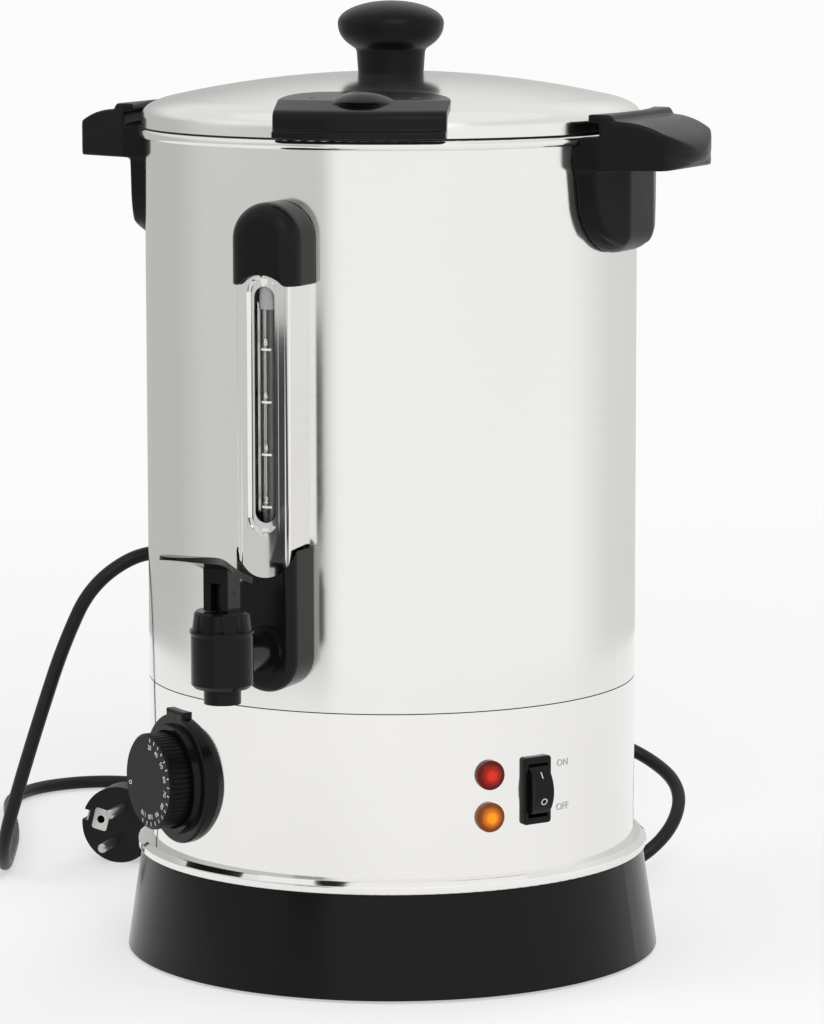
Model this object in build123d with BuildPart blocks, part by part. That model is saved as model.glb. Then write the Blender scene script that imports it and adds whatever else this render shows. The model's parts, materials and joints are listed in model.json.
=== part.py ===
from build123d import *
import os
from math import asin, atan2, cos, degrees, hypot, pi, radians, sin, sqrt, tan

# Hot water urn of about eight litres: double-walled steel body on a moulded base,
# concealed heater, lift-off twist-lock lid, sight gauge and a spring-closed lever tap.
# Millimetres. The origin is the middle of the footprint at floor level, +Z is up and
# the tap points to -Y. Angles run round the body from the tap towards +X.

os.makedirs("parts", exist_ok=True)

# ---- Driving dimensions ----

# General gaps between pieces
RUN_GAP = 0.05  # radial gap of a shaft in its bore
FIT_GAP = 0.1  # radial gap of a fixed piece in its hole
SEAT_GAP = 0.3  # gap between faces that move apart

# Feet and moulded base
FOOT_H = 6.0
FOOT_R = 9.0
FOOT_CIRCLE_R = 106.0
FOOT_STEM_R = 2.6
FOOT_BARB_R = 4.0
FOOT_COUNT = 4
FOOT_ANGLE = 45.0
FOOT_TAPER = 4.0
BARB_TAPER = 20.0
PLATE_T = 1.2
PLATE_EDGE_GAP = 0.5
VENT_COUNT = 5
VENT_PITCH = 14.0
VENT_LENGTH = 52.0
VENT_W = 5.0
BASE_LIFT = 1.5  # the skirt's edge stands this far off the floor
BASE_FOOT_R = 129.4
BASE_TOP_R = 122.2
BASE_TOP_Z = 50.4
BASE_WALL = 2.5
BASE_EDGE_ROUND = 1.4
BASE_LEDGE_IN_R = 104.0  # inner edge of the flange that carries the housing
BOSS_R = 5.0
BOSS_CIRCLE_R = 110.0
BOSS_ANGLE = 0.0
BOSS_COUNT = 4
SCREW_R = 2.0
SCREW_HEAD_R = 3.8
SCREW_HEAD_H = 2.2
SCREW_LENGTH = 16.0
SCREW_HEAD_TAPER = 12.0

# Trim ring and lower housing
TRIM_R = 124.1
TRIM_H = 5.8
TRIM_ROUND = 0.8
TRIM_EDGE_H = 3.5
TRIM_TOP_IN = 2.6
SHELL_R = 118.0
SHELL_WALL = 0.8
SEAM_Z = 134.8
SEAM_GROOVE = 0.5
JOGGLE_H = 5.5
JOGGLE_T = 0.8
HOUSING_FLANGE_IN_R = 107.0

# Upper shell, pot and rim
RIM_Z = 399.7
BEAD_H = 4.8
BEAD_OUT = 3.1
POT_R = 114.6
POT_WALL = 0.8
POT_FLOOR_Z = 146.0
POT_CORNER_R = 8.0
POT_LIP_R = 1.6

# Heater under the pot
HEATER_PLATE_R = 78.0
HEATER_PLATE_T = 4.0
ELEMENT_RING_R = 56.0
ELEMENT_R = 4.0
ELEMENT_ARC = 300.0
ELEMENT_PIN_R = 2.4
ELEMENT_PIN_H = 16.0
CUTOUT_R = 8.0
CUTOUT_H = 9.0
CUTOUT_FLANGE_R = 12.0
CUTOUT_FLANGE_T = 1.2
TAB_W = 6.3
TAB_T = 0.8
TAB_H = 8.0

# Lid
SEAL_T = 0.6
SEAL_OUT_R = 119.2
LID_R = 119.7
LID_T = 0.8
LID_TOP_Z = 425.7
DOME_R = 485.0
DOME_EDGE_R = 106.0
SHOULDER_Z = 404.6
LID_PLUG_R = 113.2
LID_PLUG_DEPTH = 8.0
KNOB_R = 25.4
KNOB_NECK_R = 16.5
KNOB_FOOT_R = 15.7
KNOB_H = 33.7
KNOB_NECK_H = 10.7
KNOB_NECK_ROUND = 3.0
KNOB_BRIM_DROP = 10.6
KNOB_BRIM_FALL = 7.0  # the brim falls this far before it tucks in
KNOB_TUCK_OUT = 4.0
KNOB_TUCK_UP = 2.4
KNOB_CROWN_R = 14.0
KNOB_CROWN_RISE = 5.9
KNOB_SCREW_R = 2.5
KNOB_SCREW_LENGTH = 16.0
LUG_ANGLE = 18.2
LUG_HALF_W = 40.0
LUG_FACE_R = 124.2
LUG_BACK_R = 86.0
LUG_SHOULDER_R = 108.0
LUG_COVER = 3.6  # thickness over the dome
LUG_TOP_Z = 412.2
LUG_EDGE_ROUND = 3.6
LUG_PLAN_ROUND = 14.0
LUG_LEDGE_R = 127.5
LUG_LEDGE_H = 3.6
LUG_BUMP_R = 12.0
LUG_BUMP_H = 2.6
LUG_BUMP_AT_R = 101.0
LUG_SCREW_R = 1.5
LUG_SCREW_HEAD_R = 2.9
LUG_SCREW_HEAD_H = 1.6
LUG_SCREW_BITE = 2.2
LUG_SCREW_AT_R = 100.0
LUG_SCREW_SIDE = 24.0

# Side handles
HANDLE_HALF_W = 39.5
HANDLE_TIP_Z = 343.5
HANDLE_TIP_HALF_W = 33.0
HANDLE_TIP_ROUND = 28.0
PAD_FLAT_HALF_W = 14.5
PAD_FLAT_R = 130.2
PAD_EDGE_R = 121.2
PAD_CORNER_ROUND = 3.0
WING_UNDER_Z = 383.5
WING_R = 160.0
WING_CORNER_R = 152.5
WING_CORNER_W = 30.0
WING_WAIST_R = 125.0  # where the sides start to draw in
WING_EDGE_RISE = 7.0
WING_EDGE_ROUND = 2.5
WING_CROWN_DROP = 3.0  # the wing's top starts this far below the ridge
WING_CROWN_REACH = 16.0
RIDGE_ROUND = 1.6
WING_EDGE_Z = 390.8
RIDGE_IN_R = 125.2
RIDGE_OUT_R = 130.4
RIDGE_TOP_Z = 409.6
RIDGE_T = 4.2
SLOT_FLOOR_Z = 399.1
HANDLE_SCREW_Z = (358.0, 379.0)
HANDLE_SCREW_R = 1.9
HANDLE_SCREW_HEAD_R = 3.6
HANDLE_SCREW_HEAD_H = 1.5
HANDLE_SCREW_BITE = 6.0

# Sight gauge
GUARD_HALF_W = 13.6
GUARD_FRONT_R = 138.0
GUARD_T = 0.9
GUARD_EDGE_ROUND = 4.5
GUARD_TOP_Z = 345.0
RECESS_HALF_W = 8.3
RECESS_TOP_Z = 338.6
RECESS_LOW_Z = 219.6
RECESS_DEPTH = 2.4
RECESS_TAPER = 20.0
WINDOW_HALF_W = 5.2
WINDOW_TOP_Z = 333.6
WINDOW_LOW_Z = 224.8
TUBE_AXIS_R = 129.5
TUBE_R = 4.8
TUBE_WALL = 1.1
TUBE_TOP_Z = 352.0
GAUGE_SEAL_R = 6.6
GAUGE_SEAL_H = 7.0
GAUGE_SEAL_SINK = 4.0
CAP_HALF_W = 17.0
CAP_FRONT_R = 140.4
CAP_LOW_Z = 334.0
CAP_TOP_Z = 371.8
CAP_EDGE_ROUND = 9.0
CAP_ARCH_H = 5.0
CAP_ARCH_HALF_W = 11.6
BLOCK_HALF_W = 15.4
BLOCK_FRONT_R = 138.6
BLOCK_LOW_Z = 146.0
BLOCK_HORN_Z = 212.5
BLOCK_SCOOP_Z = 199.6
BLOCK_EDGE_ROUND = 5.0
GAUGE_JOINT_GAP = 0.2
CAP_SCREW_Z = 361.0
BLOCK_SCREW_Z = 184.0
GAUGE_PORT_R = 2.4

# Tap
TAP_R = 179.5  # distance of the tap's axis from the urn's axis
TAP_PORT_Z = 166.0
TAP_BODY_R = 14.2
TAP_BODY_LOW_Z = 155.5
TAP_BODY_TOP_Z = 182.0
TAP_RIM_R = 14.7
TAP_RIM_H = 2.2
TAP_BODY_ROUND = 1.8
NOZZLE_R = 8.5
NOZZLE_LOW_Z = 148.3
NOZZLE_BORE_R = 5.5
SEAT_Z = 158.8
SEAT_LIP_R = 6.9
SEAT_LIP_H = 1.0
CHAMBER_R = 10.4
NECK_R = 8.4
NECK_BORE_R = 4.2
COLLAR_R = 11.0
COLLAR_L = 5.0
SHANK_R = 7.5
SHANK_OVER = 2.0  # the shank's end past its nut
TAP_WASHER_T = 2.0
TAP_WASHER_R = 12.5
TAP_NUT_AF = 24.0
TAP_NUT_T = 5.0
BONNET_SKIRT_H = 6.5
BONNET_CAVITY_R = 8.4
BONNET_ROOF_T = 3.0
BONNET_H = 8.8
BONNET_LOW_R = 13.6
BONNET_TOP_R = 12.6
BONNET_FLUTES = 8
BONNET_FLUTE_R = 2.6
STEM_R = 3.0
STEM_COLLAR_R = 7.4
STEM_COLLAR_T = 1.6
TONGUE_W = 5.0
TONGUE_TOP = 3.8  # height of the tongue above the lever pin
TAP_SEAL_R = 8.4
TAP_SEAL_T = 4.6
SPRING_R = 6.2
SPRING_WIRE_R = 0.55
SPRING_TURNS = 6
PIN_R = 1.5
LEVER_HEEL = 6.0  # half length of the flat heel that rides on the bonnet
LEVER_HALF_W = 6.2
LEVER_HALF_SPAN = 10.0
LEVER_PIN_UP = 7.6
LEVER_T = 2.8
LEVER_TIP_R = 227.0
LEVER_TIP_Z = 221.4
LEVER_TAIL_R = 160.5
LEVER_TAIL_Z = 203.6

# Thermostat dial
DIAL_ANGLE = -33.7
CONTROL_Z = 93.6
BEZEL_R = 31.0
BEZEL_FLANGE_T = 2.8
BEZEL_RING_R = 26.6
BEZEL_RING_H = 3.2
BEZEL_WELL_R = 23.6
BEZEL_ROUND = 1.4
BEZEL_SKIRT = 6.0  # depth of the bezel before it is seated on the round wall
BEZEL_FLOOR_T = 0.8
BEZEL_RING_TAPER = 12.0
POINTER_HALF_W = 8.5
POINTER_TOP = 33.0
DIAL_R = 22.9
DIAL_FACE_R = 135.0
DIAL_BACK_R = 120.0
DIAL_RIBS = 60
DIAL_RIB_CUT = 0.45
DIAL_ROUND = 1.0
DIAL_ROUND_TAPER = 40.0
SHAFT_R = 3.0
SHAFT_BORE_DEPTH = 12.0
SHAFT_INNER_L = 14.0
THERMO_W = 34.0
THERMO_H = 30.0
THERMO_D = 22.0
THERMO_CORNER_R = 3.0
THERMO_GAP = 1.4
THERMO_BUSH_R = 5.0
THERMO_SCREW_PITCH = 24.0
THERMO_SCREW_R = 1.5
THERMO_SCREW_HEAD_R = 2.8
THERMO_SCREW_HEAD_H = 0.8
THERMO_SCREW_BITE = 5.0
BULB_CLEAR = 5.0
BULB_R = 3.0
BULB_LENGTH = 60.0
CAPILLARY_R = 0.9

# Indicator lamps
LAMP_ANGLE = 47.8
LAMP_RED_Z = 104.4
LAMP_AMBER_Z = 84.4
LAMP_RIM_R = 7.0
LAMP_RIM_OUT = 2.4
LAMP_ROUND = 0.8
LAMP_LENS_R = 5.6
LAMP_LENS_H = 1.5
LAMP_BODY_R = 5.0
LAMP_SINK = 2.4  # the lens sits this deep in its hole
LAMP_BODY_L = 18.0

# Rocker switch
SWITCH_ANGLE = 59.8
SWITCH_Z = 95.0
SWITCH_W = 15.6
SWITCH_H = 32.0
SWITCH_FRAME_OUT = 2.4
SWITCH_CORNER_R = 1.6
SWITCH_ROUND = 0.8
SWITCH_BODY_W = 12.8
SWITCH_BODY_H = 28.0
SWITCH_BODY_D = 24.0
ROCKER_W = 10.6
ROCKER_H = 25.0
ROCKER_TILT = 8.0
ROCKER_PIVOT_IN = 3.0  # depth of the pivot behind the housing's surface
ROCKER_PIN_R = 1.2
ROCKER_PIN_L = 0.6
ROCKER_END_OUT = 5.6
ROCKER_CREST_OUT = 10.8
ROCKER_BACK = 2.4
ROCKER_BACK_SHARE = 0.7
ROCKER_CLEAR = 4.0
ROCKER_END_GAP = 1.0
ROCKER_ROUND = 0.4

# Mains lead
GLAND_ANGLE = 180.0
GLAND_Z = 76.0
GLAND_FLANGE_R = 9.0
GLAND_FLANGE_T = 2.5
GLAND_ROOT_R = 6.4
GLAND_TIP_R = 4.6
GLAND_LENGTH = 32.0
GLAND_NUT_R = 8.0
GLAND_NUT_T = 5.0
GLAND_NECK_R = 5.4
GLAND_GROOVES = 5
GLAND_GROOVE_PITCH = 4.6
GLAND_GROOVE_W = 1.6
TERMINAL_Y = 78.0
TERMINAL_W = 32.0
TERMINAL_D = 18.0
TERMINAL_H = 14.0
CORD_R = 3.5
PLUG_R = 20.3
PLUG_BODY_L = 30.0
PLUG_TAIL_L = 26.0
PLUG_TAIL_R = 6.4
PLUG_TAIL_TIP_R = 4.6
PLUG_NECK_R = 11.0
PLUG_PIN_R = 2.4
PLUG_PIN_L = 19.0
PLUG_PIN_PITCH = 19.0
PLUG_ROLL = 14.0
PLUG_NOTCH_W = 5.6
PLUG_NOTCH_D = 3.4
PLUG_EARTH_R = 2.9
PLUG_EARTH_AT = 10.0
PLUG_CLIP_T = 0.8
PLUG_NOTCH_L = 21.0
PLUG_PLATE_W = 8.6  # earth plate round the hole in the face
PLUG_PLATE_L = 11.6
PLUG_PLATE_ROUND = 1.5
PLUG_PIN_TAPER = 40.0

# Sizes that follow from the ones above
PLATE_Z = FOOT_H
SHELL_IN_R = SHELL_R - SHELL_WALL
POT_IN_R = POT_R - POT_WALL
LID_Z = RIM_Z + SEAL_T
DOME_CENTRE_Z = LID_TOP_Z - DOME_R
HEATER_TOP_Z = POT_FLOOR_Z
HEATER_LOW_Z = HEATER_TOP_Z - HEATER_PLATE_T
WASHER_FACE_R = POT_IN_R - TAP_WASHER_R**2 / (2 * POT_IN_R) - TAP_WASHER_T
SHANK_END_R = WASHER_FACE_R - TAP_NUT_T - SHANK_OVER
BONNET_TOP_Z = TAP_BODY_TOP_Z + BONNET_H
LEVER_HEEL_Z = BONNET_TOP_Z + SEAT_GAP
PIN_Z = LEVER_HEEL_Z + LEVER_PIN_UP
TAP_SEAL_LOW_Z = SEAT_Z + SEAT_LIP_H
CHAMBER_TOP_Z = BONNET_TOP_Z - BONNET_ROOF_T


def outward(angle, radius, height):
    """Plane facing away from the axis at an angle, a radius and a height."""
    turn = radians(angle)
    return Plane(
        origin=(radius * sin(turn), -radius * cos(turn), height),
        x_dir=(cos(turn), sin(turn), 0),
        z_dir=(sin(turn), -cos(turn), 0),
    )


def section(angle, side=0.0):
    """Upright plane through the axis: local x is the radius and local y the height."""
    turn = radians(angle)
    return Plane(
        origin=(side * cos(turn), side * sin(turn), 0),
        x_dir=(sin(turn), -cos(turn), 0),
        z_dir=(-cos(turn), -sin(turn), 0),
    )


def level(angle, height):
    """Level plane: local x runs across and local y runs out from the axis."""
    turn = radians(angle)
    return Plane(
        origin=(0, 0, height),
        x_dir=(-cos(turn), -sin(turn), 0),
        z_dir=(0, 0, 1),
    )


def save(piece, name):
    """Labels a finished piece and writes it to its own file."""
    piece.part.label = name
    export_step(piece.part, f"parts/{name}.step")


def dome_height(radius):
    """Height of the lid's outer dome at a radius."""
    return DOME_CENTRE_Z + sqrt(DOME_R**2 - radius**2)


# ---- Moulded base, plate and feet ----

FOOT_SPOTS = PolarLocations(FOOT_CIRCLE_R, FOOT_COUNT, start_angle=FOOT_ANGLE)
BOSS_SPOTS = PolarLocations(BOSS_CIRCLE_R, BOSS_COUNT, start_angle=BOSS_ANGLE)
base_slope = (BASE_FOOT_R - BASE_TOP_R) / (BASE_TOP_Z - BASE_LIFT)
base_under_top_r = BASE_TOP_R - BASE_WALL + base_slope * BASE_WALL

with BuildPart() as base_skirt:
    with BuildSketch(Plane.XZ) as skirt_section:
        with BuildLine():
            Polyline(
                (BASE_FOOT_R - BASE_WALL, BASE_LIFT),
                (BASE_FOOT_R, BASE_LIFT),
                (BASE_TOP_R, BASE_TOP_Z),
                (BASE_LEDGE_IN_R, BASE_TOP_Z),
                (BASE_LEDGE_IN_R, BASE_TOP_Z - BASE_WALL),
                (base_under_top_r, BASE_TOP_Z - BASE_WALL),
                close=True,
            )
        make_face()
        outer_corners = skirt_section.vertices().sort_by(Axis.X)[-3:]
        fillet(outer_corners.sort_by(Axis.Y)[-1], BASE_EDGE_ROUND)
    revolve(axis=Axis.Z)
    with BuildSketch(Plane.XY.offset(PLATE_Z + PLATE_T)):
        with BOSS_SPOTS:
            Circle(BOSS_R)
    extrude(amount=BASE_TOP_Z - BASE_WALL - PLATE_Z - PLATE_T)
    with BuildSketch(Plane.XY.offset(PLATE_Z)):
        with BOSS_SPOTS:
            Circle(SCREW_R)
    extrude(amount=SCREW_LENGTH + SCREW_R, mode=Mode.SUBTRACT)
    with BuildSketch(Plane.XY.offset(BASE_TOP_Z)):
        with PolarLocations(BOSS_CIRCLE_R, BOSS_COUNT, start_angle=FOOT_ANGLE):
            Circle(SCREW_R + FIT_GAP)
    extrude(amount=-BASE_WALL, mode=Mode.SUBTRACT)
save(base_skirt, "base_skirt")

plate_r = BASE_FOOT_R - BASE_WALL - base_slope * (PLATE_Z + PLATE_T - BASE_LIFT) - PLATE_EDGE_GAP
with BuildPart() as base_plate:
    with BuildSketch(Plane.XY.offset(PLATE_Z)):
        Circle(plate_r)
        with BOSS_SPOTS:
            Circle(SCREW_R + FIT_GAP, mode=Mode.SUBTRACT)
        with FOOT_SPOTS:
            Circle(FOOT_STEM_R + FIT_GAP, mode=Mode.SUBTRACT)
        with GridLocations(0, VENT_PITCH, 1, VENT_COUNT):
            SlotOverall(VENT_LENGTH, VENT_W, mode=Mode.SUBTRACT)
    extrude(amount=PLATE_T)
save(base_plate, "base_plate")

with BuildPart() as rubber_feet:
    with BuildSketch(Plane.XY):
        with FOOT_SPOTS:
            Circle(FOOT_R)
    extrude(amount=FOOT_H, taper=FOOT_TAPER)
    with BuildSketch(Plane.XY.offset(FOOT_H)):
        with FOOT_SPOTS:
            Circle(FOOT_STEM_R)
    extrude(amount=PLATE_T)
    with BuildSketch(Plane.XY.offset(FOOT_H + PLATE_T)):
        with FOOT_SPOTS:
            Circle(FOOT_BARB_R)
    extrude(amount=FOOT_STEM_R, taper=BARB_TAPER)
save(rubber_feet, "rubber_feet")

with BuildPart() as base_screws:
    with BuildSketch(Plane.XY.offset(PLATE_Z)):
        with BOSS_SPOTS:
            Circle(SCREW_HEAD_R)
    extrude(amount=-SCREW_HEAD_H, taper=SCREW_HEAD_TAPER)
    with BuildSketch(Plane.XY.offset(PLATE_Z)):
        with BOSS_SPOTS:
            Circle(SCREW_R)
    extrude(amount=SCREW_LENGTH)
save(base_screws, "base_screws")

# ---- Trim ring, lower housing and its screws ----

with BuildPart() as trim_ring:
    with BuildSketch(Plane.XZ) as trim_section:
        with BuildLine():
            Polyline(
                (SHELL_R, BASE_TOP_Z),
                (TRIM_R, BASE_TOP_Z),
                (TRIM_R, BASE_TOP_Z + TRIM_EDGE_H),
                (TRIM_R - TRIM_TOP_IN, BASE_TOP_Z + TRIM_H),
                (SHELL_R, BASE_TOP_Z + TRIM_H),
                close=True,
            )
        make_face()
        fillet(trim_section.vertices().sort_by(Axis.X)[-3:], TRIM_ROUND)
    revolve(axis=Axis.Z)
save(trim_ring, "trim_ring")

joggle_out_r = SHELL_IN_R - FIT_GAP
with BuildPart() as lower_housing:
    with BuildSketch(Plane.XZ):
        with BuildLine():
            Polyline(
                (HOUSING_FLANGE_IN_R, BASE_TOP_Z),
                (SHELL_R, BASE_TOP_Z),
                (SHELL_R, SEAM_Z - SEAM_GROOVE),
                (joggle_out_r, SEAM_Z - SEAM_GROOVE),
                (joggle_out_r, SEAM_Z + JOGGLE_H),
                (joggle_out_r - JOGGLE_T, SEAM_Z + JOGGLE_H),
                (joggle_out_r - JOGGLE_T, SEAM_Z - SEAM_GROOVE - SHELL_WALL),
                (SHELL_IN_R, SEAM_Z - SEAM_GROOVE - SHELL_WALL),
                (SHELL_IN_R, BASE_TOP_Z + SHELL_WALL),
                (HOUSING_FLANGE_IN_R, BASE_TOP_Z + SHELL_WALL),
                close=True,
            )
        make_face()
    revolve(axis=Axis.Z)
    with Locations(outward(DIAL_ANGLE, SHELL_R, CONTROL_Z)):
        Cylinder(THERMO_BUSH_R + FIT_GAP, SHELL_R / 3, mode=Mode.SUBTRACT)
        with GridLocations(THERMO_SCREW_PITCH, 0, 2, 1):
            Cylinder(THERMO_SCREW_R + FIT_GAP, SHELL_R / 3, mode=Mode.SUBTRACT)
    for lamp_z in (LAMP_RED_Z, LAMP_AMBER_Z):
        with Locations(outward(LAMP_ANGLE, SHELL_R, lamp_z)):
            Cylinder(LAMP_BODY_R + FIT_GAP, SHELL_R / 3, mode=Mode.SUBTRACT)
    with Locations(outward(SWITCH_ANGLE, SHELL_R, SWITCH_Z)):
        Box(
            SWITCH_BODY_W + 2 * FIT_GAP,
            SWITCH_BODY_H + 2 * FIT_GAP,
            SHELL_R / 3,
            mode=Mode.SUBTRACT,
        )
    with Locations(outward(GLAND_ANGLE, SHELL_R, GLAND_Z)):
        Cylinder(GLAND_NECK_R + FIT_GAP, SHELL_R / 3, mode=Mode.SUBTRACT)
    with BuildSketch(Plane.XY.offset(BASE_TOP_Z)):
        with PolarLocations(BOSS_CIRCLE_R, BOSS_COUNT, start_angle=FOOT_ANGLE):
            Circle(SCREW_R + FIT_GAP)
    extrude(amount=SHELL_WALL, mode=Mode.SUBTRACT)
save(lower_housing, "lower_housing")

housing_screw_spots = PolarLocations(BOSS_CIRCLE_R, BOSS_COUNT, start_angle=FOOT_ANGLE)
housing_screw_head_z = BASE_TOP_Z - BASE_WALL
with BuildPart() as housing_screws:
    with BuildSketch(Plane.XY.offset(housing_screw_head_z)):
        with housing_screw_spots:
            Circle(SCREW_HEAD_R)
    extrude(amount=-SCREW_HEAD_H, taper=SCREW_HEAD_TAPER)
    with BuildSketch(Plane.XY.offset(housing_screw_head_z)):
        with housing_screw_spots:
            Circle(SCREW_R)
    extrude(amount=BASE_WALL + SHELL_WALL + SCREW_HEAD_H)
    with BuildSketch(Plane.XY.offset(BASE_TOP_Z + SHELL_WALL)):
        with housing_screw_spots:
            RegularPolygon(SCREW_HEAD_R, 6)
    extrude(amount=SCREW_HEAD_H)
save(housing_screws, "housing_screws")

# ---- Upper shell with its rolled rim, and the pot ----

with BuildPart() as outer_shell:
    with BuildSketch(Plane.XZ):
        with BuildLine():
            Line((SHELL_IN_R, SEAM_Z), (SHELL_R, SEAM_Z))
            Line((SHELL_R, SEAM_Z), (SHELL_R, RIM_Z - BEAD_H))
            ThreePointArc(
                (SHELL_R, RIM_Z - BEAD_H),
                (SHELL_R + BEAD_OUT, RIM_Z - BEAD_H / 2),
                (SHELL_R + SHELL_WALL, RIM_Z),
            )
            Line((SHELL_R + SHELL_WALL, RIM_Z), (SHELL_IN_R, RIM_Z))
            Line((SHELL_IN_R, RIM_Z), (SHELL_IN_R, SEAM_Z))
        make_face()
    revolve(axis=Axis.Z)
    with Locations(outward(0, SHELL_R, TAP_PORT_Z)):
        Cylinder(SHANK_R + FIT_GAP, SHELL_R / 4, mode=Mode.SUBTRACT)
    for side in (90, -90):
        for screw_z in HANDLE_SCREW_Z:
            with Locations(outward(side, SHELL_R, screw_z)):
                Cylinder(HANDLE_SCREW_R + FIT_GAP, SHELL_R / 4, mode=Mode.SUBTRACT)
    for screw_z in (CAP_SCREW_Z, BLOCK_SCREW_Z):
        with Locations(outward(0, SHELL_R, screw_z)):
            Cylinder(HANDLE_SCREW_R + FIT_GAP, SHELL_R / 4, mode=Mode.SUBTRACT)
save(outer_shell, "outer_shell")

pot_inner_corner = POT_CORNER_R - POT_WALL
with BuildPart() as inner_pot:
    with BuildSketch(Plane.XZ):
        with BuildLine():
            FilletPolyline(
                (0, POT_FLOOR_Z),
                (POT_R, POT_FLOOR_Z),
                (POT_R, RIM_Z - POT_WALL),
                (SHELL_IN_R, RIM_Z - POT_WALL),
                radius=(POT_CORNER_R, POT_LIP_R),
            )
            Line((SHELL_IN_R, RIM_Z - POT_WALL), (SHELL_IN_R, RIM_Z))
            FilletPolyline(
                (SHELL_IN_R, RIM_Z),
                (POT_IN_R, RIM_Z),
                (POT_IN_R, POT_FLOOR_Z + POT_WALL),
                (0, POT_FLOOR_Z + POT_WALL),
                radius=(POT_LIP_R + POT_WALL, pot_inner_corner),
            )
            Line((0, POT_FLOOR_Z + POT_WALL), (0, POT_FLOOR_Z))
        make_face()
    revolve(axis=Axis.Z)
    with Locations(outward(0, POT_R, TAP_PORT_Z)):
        Cylinder(SHANK_R + FIT_GAP, SHELL_R / 8, mode=Mode.SUBTRACT)
save(inner_pot, "inner_pot")

# ---- Heater under the pot ----

with BuildPart() as heater_plate:
    with BuildSketch(Plane.XY.offset(HEATER_LOW_Z)):
        Circle(HEATER_PLATE_R)
    extrude(amount=HEATER_PLATE_T)
    chamfer(heater_plate.edges().group_by(Axis.Z)[0], HEATER_PLATE_T / 4)
save(heater_plate, "heater_plate")

element_z = HEATER_LOW_Z - ELEMENT_R
element_gap = 360 - ELEMENT_ARC
element_ends = (90 + element_gap / 2, 90 - element_gap / 2)
with BuildPart() as heating_element:
    with BuildSketch(section(element_ends[0])):
        with Locations((ELEMENT_RING_R, element_z)):
            Circle(ELEMENT_R)
    revolve(axis=Axis.Z, revolution_arc=ELEMENT_ARC)
    for pin_angle in element_ends:
        with Locations(level(pin_angle, element_z).location * Location((0, ELEMENT_RING_R, 0))):
            Sphere(ELEMENT_R)
            Cylinder(ELEMENT_PIN_R, ELEMENT_PIN_H, align=(Align.CENTER, Align.CENTER, Align.MAX))
save(heating_element, "heating_element")

with BuildPart() as thermal_cutout:
    with BuildSketch(Plane.XY.offset(HEATER_LOW_Z)):
        SlotOverall(2 * CUTOUT_FLANGE_R + CUTOUT_R, CUTOUT_R)
        Circle(CUTOUT_R)
    extrude(amount=-CUTOUT_FLANGE_T)
    with BuildSketch(Plane.XY.offset(HEATER_LOW_Z)):
        Circle(CUTOUT_R)
    extrude(amount=-CUTOUT_H)
    with BuildSketch(Plane.XY.offset(HEATER_LOW_Z - CUTOUT_H)):
        with GridLocations(CUTOUT_R, 0, 2, 1):
            Rectangle(TAB_T, TAB_W)
    extrude(amount=-TAB_H)
save(thermal_cutout, "thermal_cutout")


# ---- Lid, seal, knob and lugs ----


def lid_envelope(inset):
    """Outline of the lid from its axis to its skirt, moved inwards by a sheet's thickness."""
    edge_r = DOME_EDGE_R
    top_z = LID_TOP_Z - inset
    edge_z = dome_height(edge_r) - inset
    skirt_r = LID_R - inset
    middle = (edge_r / 2, dome_height(edge_r / 2) - inset)
    slope = edge_r / sqrt(DOME_R**2 - edge_r**2)
    corner = (skirt_r, edge_z - slope * (skirt_r - edge_r))
    ThreePointArc((0, top_z), middle, (edge_r, edge_z))
    Bezier((edge_r, edge_z), corner, (skirt_r, SHOULDER_Z))
    Line((skirt_r, SHOULDER_Z), (skirt_r, LID_Z))
    Line((skirt_r, LID_Z), (0, LID_Z))
    Line((0, LID_Z), (0, top_z))


with BuildPart(mode=Mode.PRIVATE) as lid_mass:
    with BuildSketch(Plane.XZ):
        with BuildLine():
            lid_envelope(0)
        make_face()
    revolve(axis=Axis.Z)

with BuildPart(mode=Mode.PRIVATE) as lid_cavity:
    with BuildSketch(Plane.XZ):
        with BuildLine():
            lid_envelope(LID_T)
        make_face()
    revolve(axis=Axis.Z)

lug_turns = (LUG_ANGLE, LUG_ANGLE + 180)
with BuildPart() as lid_shell:
    add(lid_mass.part)
    add(lid_cavity.part, mode=Mode.SUBTRACT)
    with BuildSketch(Plane.XZ):
        with BuildLine():
            Polyline(
                (LID_R - LID_T / 2, LID_Z),
                (LID_R - LID_T / 2, LID_Z + LID_T),
                (LID_PLUG_R - LID_T, LID_Z + LID_T),
                (LID_PLUG_R - LID_T, RIM_Z - LID_PLUG_DEPTH),
                (LID_PLUG_R, RIM_Z - LID_PLUG_DEPTH),
                (LID_PLUG_R, LID_Z),
                close=True,
            )
        make_face()
    revolve(axis=Axis.Z)
    with Locations((0, 0, LID_TOP_Z)):
        Cylinder(KNOB_SCREW_R + FIT_GAP, DOME_EDGE_R / 4, mode=Mode.SUBTRACT)
    for turn in lug_turns:
        with Locations(level(turn, dome_height(LUG_SCREW_AT_R))):
            with Locations((LUG_SCREW_SIDE, LUG_SCREW_AT_R), (-LUG_SCREW_SIDE, LUG_SCREW_AT_R)):
                Cylinder(LUG_SCREW_R + FIT_GAP, 4 * LUG_COVER, mode=Mode.SUBTRACT)
save(lid_shell, "lid_shell")

with BuildPart() as lid_seal:
    with BuildSketch(Plane.XY.offset(RIM_Z)):
        Circle(SEAL_OUT_R)
        Circle(LID_PLUG_R + SEAL_T, mode=Mode.SUBTRACT)
    extrude(amount=SEAL_T)
save(lid_seal, "lid_seal")

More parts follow.
